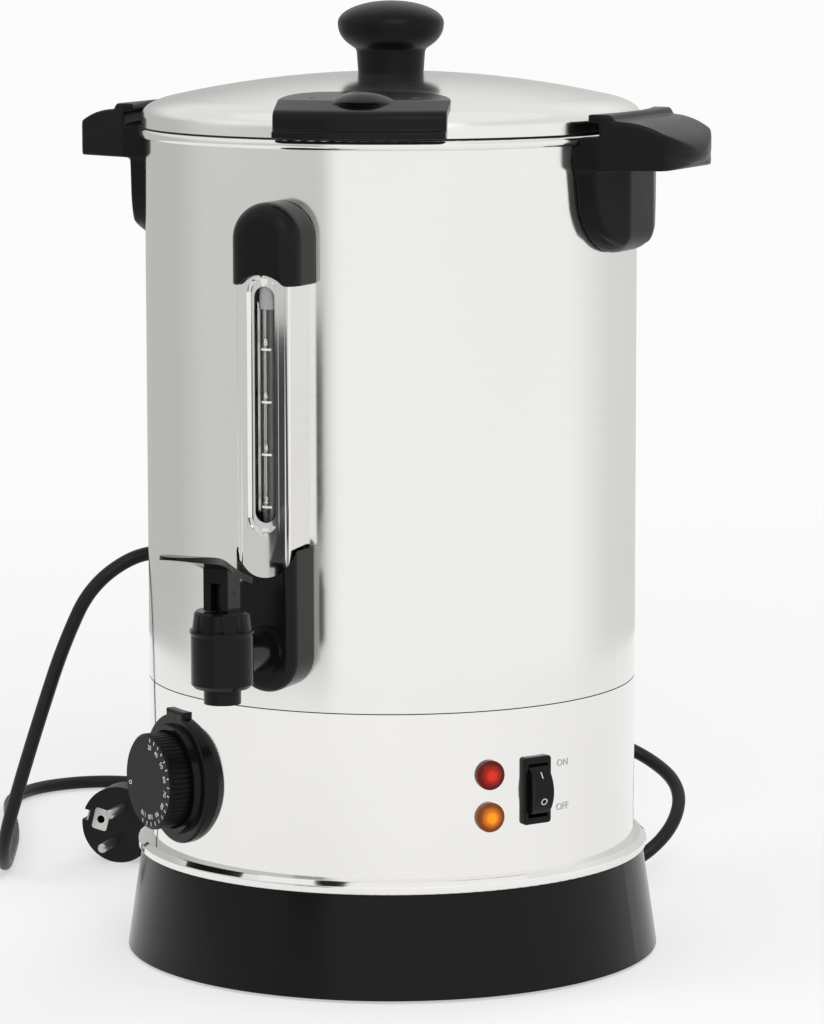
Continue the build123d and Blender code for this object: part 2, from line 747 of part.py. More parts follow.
knob_top_z = LID_TOP_Z + KNOB_H
knob_neck_z = LID_TOP_Z + KNOB_NECK_H
knob_brim_z = knob_top_z - KNOB_BRIM_DROP
knob_hole_z = LID_TOP_Z + KNOB_SCREW_LENGTH
with BuildPart() as lid_knob:
    with BuildSketch(Plane.XZ) as knob_section:
        with BuildLine():
            Polyline(
                (0, knob_top_z),
                (0, LID_TOP_Z - KNOB_NECK_H),
                (KNOB_FOOT_R, LID_TOP_Z - KNOB_NECK_H),
                (KNOB_FOOT_R, LID_TOP_Z),
                (KNOB_NECK_R, knob_neck_z),
            )
            Bezier(
                (KNOB_NECK_R, knob_neck_z),
                (KNOB_NECK_R + KNOB_TUCK_OUT, knob_neck_z + KNOB_TUCK_UP),
                (KNOB_R, knob_brim_z - KNOB_BRIM_FALL),
                (KNOB_R, knob_brim_z),
            )
            Bezier(
                (KNOB_R, knob_brim_z),
                (KNOB_R, knob_brim_z + KNOB_CROWN_RISE),
                (KNOB_CROWN_R, knob_top_z),
                (0, knob_top_z),
            )
        make_face()
        neck_corners = knob_section.vertices().filter_by_position(
            Axis.Y, knob_neck_z - FIT_GAP, knob_neck_z + FIT_GAP
        )
        fillet(neck_corners, KNOB_NECK_ROUND)
    revolve(axis=Axis.Z)
    add(lid_mass.part, mode=Mode.SUBTRACT)
    with Locations((0, 0, knob_hole_z)):
        Cylinder(
            KNOB_SCREW_R + RUN_GAP,
            2 * KNOB_SCREW_LENGTH,
            align=(Align.CENTER, Align.CENTER, Align.MAX),
            mode=Mode.SUBTRACT,
        )
save(lid_knob, "lid_knob")

knob_screw_head_r = 2 * KNOB_SCREW_R
with BuildPart() as knob_screw:
    with Locations((0, 0, dome_height(knob_screw_head_r) - LID_T - RUN_GAP)):
        Cylinder(
            knob_screw_head_r,
            KNOB_SCREW_R,
            align=(Align.CENTER, Align.CENTER, Align.MAX),
        )
        Cylinder(
            KNOB_SCREW_R,
            KNOB_SCREW_LENGTH,
            align=(Align.CENTER, Align.CENTER, Align.MIN),
        )
save(knob_screw, "knob_screw")

lug_low_z = LID_Z
lug_spread = 2 * degrees(asin(LUG_HALF_W / LUG_BACK_R))
lug_rise = (dome_height(LUG_SHOULDER_R) + LUG_COVER - LUG_TOP_Z) / (LUG_FACE_R - LUG_SHOULDER_R)
bump_sphere_r = (LUG_BUMP_R**2 + LUG_BUMP_H**2) / (2 * LUG_BUMP_H)
bump_top_z = dome_height(LUG_BUMP_AT_R) + LUG_COVER + LUG_BUMP_H
for lug_name, turn in zip(("lid_lug_front", "lid_lug_rear"), lug_turns):
    with BuildPart() as lug:
        # The lug's section is turned round the lid, then trimmed to its plan.
        with BuildSketch(section(turn - lug_spread / 2)) as lug_section:
            with BuildLine():
                Polyline(
                    (LUG_BACK_R / 2, lug_low_z),
                    (LUG_LEDGE_R, lug_low_z),
                    (LUG_LEDGE_R, lug_low_z + LUG_LEDGE_H),
                    (LUG_FACE_R, lug_low_z + LUG_LEDGE_H),
                    (LUG_FACE_R, LUG_TOP_Z - LUG_EDGE_ROUND),
                )
                Bezier(
                    (LUG_FACE_R, LUG_TOP_Z - LUG_EDGE_ROUND),
                    (LUG_FACE_R, LUG_TOP_Z),
                    (LUG_FACE_R - LUG_EDGE_ROUND, LUG_TOP_Z + LUG_EDGE_ROUND * lug_rise),
                )
                Line(
                    (LUG_FACE_R - LUG_EDGE_ROUND, LUG_TOP_Z + LUG_EDGE_ROUND * lug_rise),
                    (LUG_SHOULDER_R, dome_height(LUG_SHOULDER_R) + LUG_COVER),
                )
                Line(
                    (LUG_SHOULDER_R, dome_height(LUG_SHOULDER_R) + LUG_COVER),
                    (LUG_BACK_R / 2, dome_height(LUG_BACK_R / 2) + LUG_COVER),
                )
                Line(
                    (LUG_BACK_R / 2, dome_height(LUG_BACK_R / 2) + LUG_COVER),
                    (LUG_BACK_R / 2, lug_low_z),
                )
            make_face()
        revolve(axis=Axis.Z, revolution_arc=lug_spread)
        with BuildSketch(level(turn, lug_low_z - LID_T)):
            with BuildLine():
                FilletPolyline(
                    (-LUG_HALF_W, 2 * LUG_LEDGE_R),
                    (-LUG_HALF_W, LUG_BACK_R),
                    (LUG_HALF_W, LUG_BACK_R),
                    (LUG_HALF_W, 2 * LUG_LEDGE_R),
                    radius=LUG_PLAN_ROUND,
                )
                Line((LUG_HALF_W, 2 * LUG_LEDGE_R), (-LUG_HALF_W, 2 * LUG_LEDGE_R))
            make_face()
        extrude(amount=LID_TOP_Z + KNOB_H - lug_low_z, mode=Mode.INTERSECT)
        with Locations(level(turn, bump_top_z)):
            with Locations((0, LUG_BUMP_AT_R)):
                Sphere(
                    bump_sphere_r,
                    arc_size1=degrees(asin(1 - LUG_BUMP_H * 2 / bump_sphere_r)),
                    align=(Align.CENTER, Align.CENTER, Align.MAX),
                )
        add(lid_mass.part, mode=Mode.SUBTRACT)
        with Locations(level(turn, dome_height(LUG_SCREW_AT_R))):
            with Locations((LUG_SCREW_SIDE, LUG_SCREW_AT_R), (-LUG_SCREW_SIDE, LUG_SCREW_AT_R)):
                Cylinder(LUG_SCREW_R, 2 * LUG_SCREW_BITE, mode=Mode.SUBTRACT)
    save(lug, lug_name)

screw_out_r = hypot(LUG_SCREW_AT_R, LUG_SCREW_SIDE) + LUG_SCREW_HEAD_R
lug_screw_head_z = dome_height(screw_out_r) - LID_T - RUN_GAP
lug_screw_top_z = dome_height(LUG_SCREW_AT_R) + LUG_SCREW_BITE
with BuildPart() as lug_screws:
    for turn in lug_turns:
        with Locations(level(turn, lug_screw_head_z)):
            with Locations((LUG_SCREW_SIDE, LUG_SCREW_AT_R), (-LUG_SCREW_SIDE, LUG_SCREW_AT_R)):
                Cylinder(
                    LUG_SCREW_HEAD_R,
                    LUG_SCREW_HEAD_H,
                    align=(Align.CENTER, Align.CENTER, Align.MAX),
                )
                Cylinder(
                    LUG_SCREW_R,
                    lug_screw_top_z - lug_screw_head_z,
                    align=(Align.CENTER, Align.CENTER, Align.MIN),
                )
save(lug_screws, "lug_screws")

# ---- Side handles ----

bead_clear_r = SHELL_R + BEAD_OUT + FIT_GAP
for handle_name, turn in (("handle_right", 90), ("handle_left", -90)):
    with BuildPart() as pad:
        with BuildSketch(level(turn, HANDLE_TIP_Z)):
            with BuildLine():
                FilletPolyline(
                    (-HANDLE_HALF_W, SHELL_R / 2),
                    (-HANDLE_HALF_W, PAD_EDGE_R),
                    (-PAD_FLAT_HALF_W, PAD_FLAT_R),
                    (PAD_FLAT_HALF_W, PAD_FLAT_R),
                    (HANDLE_HALF_W, PAD_EDGE_R),
                    (HANDLE_HALF_W, SHELL_R / 2),
                    radius=PAD_CORNER_ROUND,
                )
                Line((HANDLE_HALF_W, SHELL_R / 2), (-HANDLE_HALF_W, SHELL_R / 2))
            make_face()
        extrude(amount=WING_EDGE_Z - HANDLE_TIP_Z)
        with BuildSketch(outward(turn, SHELL_R / 3, 0)):
            with BuildLine():
                FilletPolyline(
                    (-HANDLE_HALF_W, WING_EDGE_Z),
                    (-HANDLE_TIP_HALF_W, HANDLE_TIP_Z),
                    (HANDLE_TIP_HALF_W, HANDLE_TIP_Z),
                    (HANDLE_HALF_W, WING_EDGE_Z),
                    radius=HANDLE_TIP_ROUND,
                )
                Line((HANDLE_HALF_W, WING_EDGE_Z), (-HANDLE_HALF_W, WING_EDGE_Z))
            make_face()
        extrude(amount=SHELL_R, mode=Mode.INTERSECT)
    with BuildPart() as handle:
        with BuildSketch(section(turn, HANDLE_HALF_W)):
            with BuildLine():
                Polyline(
                    (SHELL_R / 2, RIM_Z - BEAD_H),
                    (SHELL_R / 2, WING_UNDER_Z),
                    (WING_R - WING_EDGE_ROUND, WING_UNDER_Z),
                )
                Bezier(
                    (WING_R - WING_EDGE_ROUND, WING_UNDER_Z),
                    (WING_R, WING_UNDER_Z),
                    (WING_R, WING_UNDER_Z + WING_EDGE_ROUND),
                )
                Line((WING_R, WING_UNDER_Z + WING_EDGE_ROUND), (WING_R, WING_EDGE_Z))
                Bezier(
                    (WING_R, WING_EDGE_Z),
                    (WING_R, WING_EDGE_Z + WING_EDGE_RISE),
                    (RIDGE_OUT_R + WING_CROWN_REACH, RIDGE_TOP_Z - WING_CROWN_DROP),
                    (RIDGE_OUT_R, RIDGE_TOP_Z - WING_CROWN_DROP),
                )
                Polyline(
                    (RIDGE_OUT_R, RIDGE_TOP_Z - WING_CROWN_DROP),
                    (RIDGE_OUT_R, RIDGE_TOP_Z - RIDGE_ROUND),
                    (RIDGE_OUT_R - RIDGE_ROUND, RIDGE_TOP_Z),
                    (SHELL_R / 2, RIDGE_TOP_Z),
                    (SHELL_R / 2, RIM_Z - BEAD_H),
                )
            make_face()
        extrude(amount=2 * HANDLE_HALF_W)
        with BuildSketch(level(turn, WING_UNDER_Z)):
            with BuildLine():
                Polyline(
                    (-WING_CORNER_W, WING_CORNER_R),
                    (-HANDLE_HALF_W, WING_WAIST_R),
                    (-HANDLE_HALF_W, SHELL_R / 2),
                    (HANDLE_HALF_W, SHELL_R / 2),
                    (HANDLE_HALF_W, WING_WAIST_R),
                    (WING_CORNER_W, WING_CORNER_R),
                )
                ThreePointArc(
                    (WING_CORNER_W, WING_CORNER_R),
                    (0, WING_R),
                    (-WING_CORNER_W, WING_CORNER_R),
                )
            make_face()
        extrude(amount=RIDGE_TOP_Z - WING_UNDER_Z, mode=Mode.INTERSECT)
        add(pad.part)
        # The bead, the slot and the ridge follow the lid round, so they are turned.
        with BuildSketch(Plane.XZ):
            with BuildLine():
                Polyline(
                    (0, HANDLE_TIP_Z - RIDGE_T),
                    (SHELL_R, HANDLE_TIP_Z - RIDGE_T),
                    (SHELL_R, RIM_Z - BEAD_H - FIT_GAP),
                    (bead_clear_r, RIM_Z - BEAD_H - FIT_GAP),
                    (bead_clear_r, SLOT_FLOOR_Z),
                    (RIDGE_OUT_R, SLOT_FLOOR_Z),
                    (RIDGE_OUT_R, RIDGE_TOP_Z - RIDGE_T),
                    (RIDGE_IN_R, RIDGE_TOP_Z - RIDGE_T),
                    (RIDGE_IN_R, RIDGE_TOP_Z + RIDGE_T),
                    (0, RIDGE_TOP_Z + RIDGE_T),
                    close=True,
                )
            make_face()
        revolve(axis=Axis.Z, mode=Mode.SUBTRACT)
        for screw_z in HANDLE_SCREW_Z:
            with Locations(outward(turn, SHELL_R, screw_z)):
                Cylinder(HANDLE_SCREW_R, 2 * HANDLE_SCREW_BITE, mode=Mode.SUBTRACT)
    save(handle, handle_name)



def shell_screw(angle, height):
    """Low-headed screw driven outwards through the shell's wall."""
    head_r = SHELL_IN_R - HANDLE_SCREW_HEAD_R**2 / SHELL_IN_R
    with Locations(outward(angle, head_r, height)):
        Cylinder(
            HANDLE_SCREW_HEAD_R,
            HANDLE_SCREW_HEAD_H,
            align=(Align.CENTER, Align.CENTER, Align.MAX),
        )
        Cylinder(
            HANDLE_SCREW_R,
            SHELL_R + HANDLE_SCREW_BITE - head_r,
            align=(Align.CENTER, Align.CENTER, Align.MIN),
        )


with BuildPart() as handle_screws:
    for side in (90, -90):
        for screw_z in HANDLE_SCREW_Z:
            shell_screw(side, screw_z)
save(handle_screws, "handle_screws")

with BuildPart() as gauge_screws:
    for screw_z in (CAP_SCREW_Z, BLOCK_SCREW_Z):
        shell_screw(0, screw_z)
save(gauge_screws, "gauge_screws")

# ---- Sight gauge ----

scoop_rise = BLOCK_HORN_Z - BLOCK_SCOOP_Z
scoop_r = (BLOCK_HALF_W**2 + scoop_rise**2) / (2 * scoop_rise)
scoop_centre_z = BLOCK_SCOOP_Z + scoop_r


def gauge_outline(half_w, low_z, top_z):
    """Upright slot shape with round ends."""
    with Locations((0, (low_z + top_z) / 2)):
        SlotOverall(top_z - low_z, 2 * half_w, rotation=90)


def channel_plan(inset):
    """Plan of the guard: a channel with rounded front corners, moved in by a wall."""
    half_w = GUARD_HALF_W - inset
    front_r = GUARD_FRONT_R - inset
    FilletPolyline(
        (-half_w, SHELL_R / 2),
        (-half_w, front_r),
        (half_w, front_r),
        (half_w, SHELL_R / 2),
        radius=GUARD_EDGE_ROUND - inset,
    )
    Line((half_w, SHELL_R / 2), (-half_w, SHELL_R / 2))


with BuildPart() as gauge_guard:
    with BuildSketch(level(0, BLOCK_SCOOP_Z)):
        with BuildLine():
            channel_plan(0)
        make_face()
    extrude(amount=GUARD_TOP_Z - BLOCK_SCOOP_Z)
    with BuildSketch(level(0, BLOCK_SCOOP_Z)):
        with BuildLine():
            channel_plan(GUARD_T)
        make_face()
    extrude(amount=GUARD_TOP_Z - BLOCK_SCOOP_Z, mode=Mode.SUBTRACT)
    # The window lies in a tray pressed into the front wall.
    with BuildSketch(outward(0, GUARD_FRONT_R, 0)):
        gauge_outline(RECESS_HALF_W, RECESS_LOW_Z, RECESS_TOP_Z)
    extrude(amount=-RECESS_DEPTH - GUARD_T)
    with BuildSketch(outward(0, GUARD_FRONT_R, 0)):
        gauge_outline(
            RECESS_HALF_W - GUARD_T / 2,
            RECESS_LOW_Z + GUARD_T / 2,
            RECESS_TOP_Z - GUARD_T / 2,
        )
    extrude(amount=-RECESS_DEPTH, taper=RECESS_TAPER, mode=Mode.SUBTRACT)
    with BuildSketch(outward(0, GUARD_FRONT_R, 0)):
        gauge_outline(WINDOW_HALF_W, WINDOW_LOW_Z, WINDOW_TOP_Z)
    extrude(amount=-2 * RECESS_DEPTH - GUARD_T, mode=Mode.SUBTRACT)
    with BuildSketch(outward(0, SHELL_R / 2, 0)):
        with Locations((0, scoop_centre_z)):
            Circle(scoop_r - GAUGE_JOINT_GAP)
            Rectangle(
                2 * GUARD_HALF_W,
                GUARD_TOP_Z - scoop_centre_z,
                align=(Align.CENTER, Align.MIN),
            )
    extrude(amount=SHELL_R, mode=Mode.INTERSECT)
    Cylinder(SHELL_R, 2 * GUARD_TOP_Z, mode=Mode.SUBTRACT)
save(gauge_guard, "gauge_guard")

cap_centre_z = CAP_TOP_Z - CAP_HALF_W
arch_rise_r = (CAP_ARCH_HALF_W**2 + CAP_ARCH_H**2) / (2 * CAP_ARCH_H)
with BuildPart() as gauge_cap:
    with BuildSketch(outward(0, SHELL_R / 2, 0)):
        with BuildLine():
            Line((-CAP_HALF_W, cap_centre_z), (-CAP_HALF_W, CAP_LOW_Z))
            Line((-CAP_HALF_W, CAP_LOW_Z), (CAP_HALF_W, CAP_LOW_Z))
            Line((CAP_HALF_W, CAP_LOW_Z), (CAP_HALF_W, cap_centre_z))
            ThreePointArc(
                (CAP_HALF_W, cap_centre_z),
                (0, CAP_TOP_Z),
                (-CAP_HALF_W, cap_centre_z),
            )
        make_face()
    extrude(amount=CAP_FRONT_R - SHELL_R / 2)
    cap_front = gauge_cap.faces().filter_by(Axis.Y).sort_by(Axis.Y)[0]
    cap_low_edge = cap_front.edges().sort_by(Axis.Z)[0]
    fillet([edge for edge in cap_front.edges() if edge != cap_low_edge], CAP_EDGE_ROUND)
    Cylinder(SHELL_R, 2 * CAP_TOP_Z, mode=Mode.SUBTRACT)
    with BuildSketch(outward(0, GUARD_FRONT_R - GUARD_EDGE_ROUND, 0)):
        with Locations((0, CAP_LOW_Z + CAP_ARCH_H - arch_rise_r)):
            Circle(arch_rise_r)
    extrude(amount=CAP_FRONT_R - GUARD_FRONT_R + GUARD_EDGE_ROUND, mode=Mode.SUBTRACT)
    with BuildSketch(level(0, CAP_LOW_Z - CAP_ARCH_H)):
        with BuildLine():
            channel_plan(-FIT_GAP)
        make_face()
    extrude(amount=GUARD_TOP_Z + GAUGE_JOINT_GAP - CAP_LOW_Z + CAP_ARCH_H, mode=Mode.SUBTRACT)
    with Locations((0, -TUBE_AXIS_R, TUBE_TOP_Z)):
        Cylinder(
            GAUGE_SEAL_R,
            TUBE_TOP_Z - GUARD_TOP_Z,
            align=(Align.CENTER, Align.CENTER, Align.MAX),
            mode=Mode.SUBTRACT,
        )
    with Locations(outward(0, SHELL_R, CAP_SCREW_Z)):
        Cylinder(HANDLE_SCREW_R, 2 * HANDLE_SCREW_BITE, mode=Mode.SUBTRACT)
save(gauge_cap, "gauge_cap")

seal_low_z = BLOCK_SCOOP_Z - GAUGE_SEAL_H - GAUGE_SEAL_SINK
with BuildPart() as gauge_tube:
    with BuildSketch(Plane.XY.offset(seal_low_z)):
        with Locations((0, -TUBE_AXIS_R)):
            Circle(TUBE_R)
            Circle(TUBE_R - TUBE_WALL, mode=Mode.SUBTRACT)
    extrude(amount=TUBE_TOP_Z - seal_low_z)
save(gauge_tube, "gauge_tube")

with BuildPart() as gauge_seals:
    for seal_z in (seal_low_z, TUBE_TOP_Z - GAUGE_SEAL_H):
        with BuildSketch(Plane.XY.offset(seal_z)):
            with Locations((0, -TUBE_AXIS_R)):
                Circle(GAUGE_SEAL_R)
                Circle(TUBE_R, mode=Mode.SUBTRACT)
        extrude(amount=GAUGE_SEAL_H)
save(gauge_seals, "gauge_seals")

# ---- Tap block, tap, stem, spring and lever ----

block_centre_z = BLOCK_LOW_Z + BLOCK_HALF_W
with BuildPart() as tap_block:
    with BuildSketch(outward(0, SHELL_R / 2, 0)):
        with BuildLine():
            ThreePointArc(
                (-BLOCK_HALF_W, block_centre_z),
                (0, BLOCK_LOW_Z),
                (BLOCK_HALF_W, block_centre_z),
            )
            Line((BLOCK_HALF_W, block_centre_z), (BLOCK_HALF_W, BLOCK_HORN_Z))
            ThreePointArc(
                (BLOCK_HALF_W, BLOCK_HORN_Z),
                (0, BLOCK_SCOOP_Z),
                (-BLOCK_HALF_W, BLOCK_HORN_Z),
            )
            Line((-BLOCK_HALF_W, BLOCK_HORN_Z), (-BLOCK_HALF_W, block_centre_z))
        make_face()
    extrude(amount=BLOCK_FRONT_R - SHELL_R / 2)
    block_front = tap_block.faces().filter_by(Axis.Y).sort_by(Axis.Y)[0]
    fillet(block_front.edges().sort_by(Axis.Z)[:-1], BLOCK_EDGE_ROUND)
    Cylinder(SHELL_R, 2 * BLOCK_HORN_Z, mode=Mode.SUBTRACT)
    with Locations((0, -TUBE_AXIS_R, seal_low_z)):
        Cylinder(
            GAUGE_SEAL_R,
            BLOCK_HORN_Z - seal_low_z,
            align=(Align.CENTER, Align.CENTER, Align.MIN),
            mode=Mode.SUBTRACT,
        )
        Cylinder(
            TUBE_R - TUBE_WALL,
            seal_low_z - TAP_PORT_Z,
            align=(Align.CENTER, Align.CENTER, Align.MAX),
            mode=Mode.SUBTRACT,
        )
    with Locations(outward(0, SHELL_R, TAP_PORT_Z)):
        Cylinder(SHANK_R + FIT_GAP, SHELL_R / 2, mode=Mode.SUBTRACT)
    with Locations(outward(0, SHELL_R, BLOCK_SCREW_Z)):
        Cylinder(HANDLE_SCREW_R, 2 * HANDLE_SCREW_BITE, mode=Mode.SUBTRACT)
save(tap_block, "tap_block")

body_h = TAP_BODY_TOP_Z - TAP_BODY_LOW_Z
with BuildPart() as tap_body:
    with BuildSketch(Plane.YZ):
        with BuildLine():
            Polyline(
                (-TAP_R, NOZZLE_LOW_Z),
                (-TAP_R - NOZZLE_R, NOZZLE_LOW_Z),
                (-TAP_R - NOZZLE_R, TAP_BODY_LOW_Z),
                (-TAP_R - TAP_BODY_R + TAP_BODY_ROUND, TAP_BODY_LOW_Z),
                (-TAP_R - TAP_BODY_R, TAP_BODY_LOW_Z + TAP_BODY_ROUND),
                (-TAP_R - TAP_BODY_R, TAP_BODY_TOP_Z - TAP_RIM_H),
                (-TAP_R - TAP_RIM_R, TAP_BODY_TOP_Z - TAP_RIM_H / 2),
                (-TAP_R - TAP_RIM_R, TAP_BODY_TOP_Z),
                (-TAP_R, TAP_BODY_TOP_Z),
                close=True,
            )
        make_face()
    revolve(axis=Axis((0, -TAP_R, 0), (0, 0, 1)))
    with Locations(outward(0, SHANK_END_R, TAP_PORT_Z)):
        Cylinder(SHANK_R, TAP_R - SHANK_END_R, align=(Align.CENTER, Align.CENTER, Align.MIN))
    with Locations(outward(0, BLOCK_FRONT_R, TAP_PORT_Z)):
        Cylinder(NECK_R, TAP_R - BLOCK_FRONT_R, align=(Align.CENTER, Align.CENTER, Align.MIN))
        Cylinder(COLLAR_R, COLLAR_L, align=(Align.CENTER, Align.CENTER, Align.MIN))
    with Locations((0, -TAP_R, SEAT_Z)):
        Cylinder(
            CHAMBER_R,
            TAP_BODY_TOP_Z - SEAT_Z,
            align=(Align.CENTER, Align.CENTER, Align.MIN),
            mode=Mode.SUBTRACT,
        )
        Cylinder(SEAT_LIP_R, SEAT_LIP_H, align=(Align.CENTER, Align.CENTER, Align.MIN))
    with Locations((0, -TAP_R, NOZZLE_LOW_Z)):
        Cylinder(
            NOZZLE_BORE_R,
            SEAT_Z + SEAT_LIP_H - NOZZLE_LOW_Z,
            align=(Align.CENTER, Align.CENTER, Align.MIN),
            mode=Mode.SUBTRACT,
        )
    with Locations(outward(0, SHANK_END_R, TAP_PORT_Z)):
        Cylinder(
            NECK_BORE_R,
            TAP_R - SHANK_END_R - CHAMBER_R / 2,
            align=(Align.CENTER, Align.CENTER, Align.MIN),
            mode=Mode.SUBTRACT,
        )
    with Locations((0, -TUBE_AXIS_R, TAP_PORT_Z)):
        Cylinder(
            GAUGE_PORT_R,
            2 * SHANK_R,
            align=(Align.CENTER, Align.CENTER, Align.MIN),
            mode=Mode.SUBTRACT,
        )
save(tap_body, "tap_body")

with BuildPart(mode=Mode.PRIVATE) as pot_space:
    Cylinder(POT_IN_R, 2 * RIM_Z)

with BuildPart(mode=Mode.PRIVATE) as wall_gap:
    Cylinder(SHELL_IN_R, 2 * RIM_Z)
    Cylinder(POT_R, 2 * RIM_Z, mode=Mode.SUBTRACT)

with BuildPart(mode=Mode.PRIVATE) as wall_spacer:
    with BuildSketch(outward(0, WASHER_FACE_R, TAP_PORT_Z)):
        Circle(TAP_WASHER_R)
        Circle(SHANK_R + FIT_GAP, mode=Mode.SUBTRACT)
    extrude(amount=SHELL_R - WASHER_FACE_R)
    add(wall_gap.part, mode=Mode.INTERSECT)

with BuildPart() as tap_washers:
    with BuildSketch(outward(0, WASHER_FACE_R, TAP_PORT_Z)):
        Circle(TAP_WASHER_R)
        Circle(SHANK_R + FIT_GAP, mode=Mode.SUBTRACT)
    extrude(amount=SHELL_R - WASHER_FACE_R)
    add(pot_space.part, mode=Mode.INTERSECT)
    add(wall_spacer.part)
save(tap_washers, "tap_washers")

with BuildPart() as tap_nut:
    with BuildSketch(outward(0, WASHER_FACE_R, TAP_PORT_Z)):
        RegularPolygon(TAP_NUT_AF / 2, 6, major_radius=False)
        Circle(SHANK_R + RUN_GAP, mode=Mode.SUBTRACT)
    extrude(amount=-TAP_NUT_T)
save(tap_nut, "tap_nut")

tap_axis = Axis((0, -TAP_R, 0), (0, 0, 1))
flute_out_r = BONNET_LOW_R + BONNET_FLUTE_R * 0.55
with BuildPart() as tap_bonnet:
    with BuildSketch(Plane.YZ):
        with BuildLine():
            Polyline(
                (-TAP_R, BONNET_TOP_Z),
                (-TAP_R, TAP_BODY_TOP_Z - BONNET_SKIRT_H),
                (-TAP_R - CHAMBER_R + RUN_GAP, TAP_BODY_TOP_Z - BONNET_SKIRT_H),
                (-TAP_R - CHAMBER_R + RUN_GAP, TAP_BODY_TOP_Z),
                (-TAP_R - BONNET_LOW_R, TAP_BODY_TOP_Z),
                (-TAP_R - BONNET_TOP_R, BONNET_TOP_Z - 1),
                (-TAP_R - BONNET_TOP_R + 1, BONNET_TOP_Z),
                close=True,
            )
        make_face()
    revolve(axis=tap_axis)
    with BuildSketch(Plane.XY.offset(TAP_BODY_TOP_Z)):
        with Locations((0, -TAP_R)):
            with PolarLocations(flute_out_r, BONNET_FLUTES, start_angle=180 / BONNET_FLUTES):
                Circle(BONNET_FLUTE_R)
    extrude(amount=BONNET_H, mode=Mode.SUBTRACT)
    with Locations((0, -TAP_R, TAP_BODY_TOP_Z - BONNET_SKIRT_H)):
        Cylinder(
            BONNET_CAVITY_R,
            CHAMBER_TOP_Z - TAP_BODY_TOP_Z + BONNET_SKIRT_H,
            align=(Align.CENTER, Align.CENTER, Align.MIN),
            mode=Mode.SUBTRACT,
        )
        Cylinder(
            STEM_R + RUN_GAP,
            BONNET_H + BONNET_SKIRT_H,
            align=(Align.CENTER, Align.CENTER, Align.MIN),
            mode=Mode.SUBTRACT,
        )
save(tap_bonnet, "tap_bonnet")

collar_z = TAP_SEAL_LOW_Z + TAP_SEAL_T
tongue_fall = hypot(LEVER_PIN_UP, LEVER_HEEL) + SEAT_GAP
with BuildPart() as tap_stem:
    with Locations((0, -TAP_R, collar_z)):
        Cylinder(STEM_COLLAR_R, STEM_COLLAR_T, align=(Align.CENTER, Align.CENTER, Align.MIN))
        Cylinder(
            STEM_R,
            PIN_Z + TONGUE_TOP - collar_z,
            align=(Align.CENTER, Align.CENTER, Align.MIN),
        )
        Cylinder(
            STEM_R,
            TAP_SEAL_T - 1.2,
            align=(Align.CENTER, Align.CENTER, Align.MAX),
        )
    # The flats reach down past the lowest point that the lever's heel swings to.
    with Locations((0, -TAP_R, PIN_Z - tongue_fall)):
        with Locations((TONGUE_W / 2, 0, 0)):
            Box(
                STEM_R,
                2 * STEM_R,
                tongue_fall + 2 * TONGUE_TOP,
                align=(Align.MIN, Align.CENTER, Align.MIN),
                mode=Mode.SUBTRACT,
            )
        with Locations((-TONGUE_W / 2, 0, 0)):
            Box(
                STEM_R,
                2 * STEM_R,
                tongue_fall + 2 * TONGUE_TOP,
                align=(Align.MAX, Align.CENTER, Align.MIN),
                mode=Mode.SUBTRACT,
            )
    with Locations((0, -TAP_R, PIN_Z)):
        Cylinder(PIN_R + RUN_GAP, 4 * STEM_R, rotation=(0, 90, 0), mode=Mode.SUBTRACT)
save(tap_stem, "tap_stem")

with BuildPart() as tap_seal:
    with BuildSketch(Plane.XY.offset(TAP_SEAL_LOW_Z)):
        with Locations((0, -TAP_R)):
            Circle(TAP_SEAL_R)
    extrude(amount=TAP_SEAL_T)
    with BuildSketch(Plane.XY.offset(collar_z)):
        with Locations((0, -TAP_R)):
            Circle(STEM_R)
    extrude(amount=-TAP_SEAL_T + 1.2, mode=Mode.SUBTRACT)
save(tap_seal, "tap_seal")

spring_low_z = collar_z + STEM_COLLAR_T + SPRING_WIRE_R
spring_high_z = CHAMBER_TOP_Z - SPRING_WIRE_R
spring_pitch = (spring_high_z - spring_low_z) / SPRING_TURNS
with BuildPart() as tap_spring:
    with BuildLine():
        coil = Helix(
            spring_pitch,
            spring_high_z - spring_low_z,
            SPRING_R,
            center=(0, -TAP_R, spring_low_z),
        )
    with BuildSketch(Plane(origin=coil @ 0, z_dir=coil % 0)):
        Circle(SPRING_WIRE_R)
    sweep()
save(tap_spring, "tap_spring")

with BuildPart() as lever_pin:
    with Locations((0, -TAP_R, PIN_Z)):
        Cylinder(PIN_R, 2 * LEVER_HALF_W, rotation=(0, 90, 0))
save(lever_pin, "lever_pin")

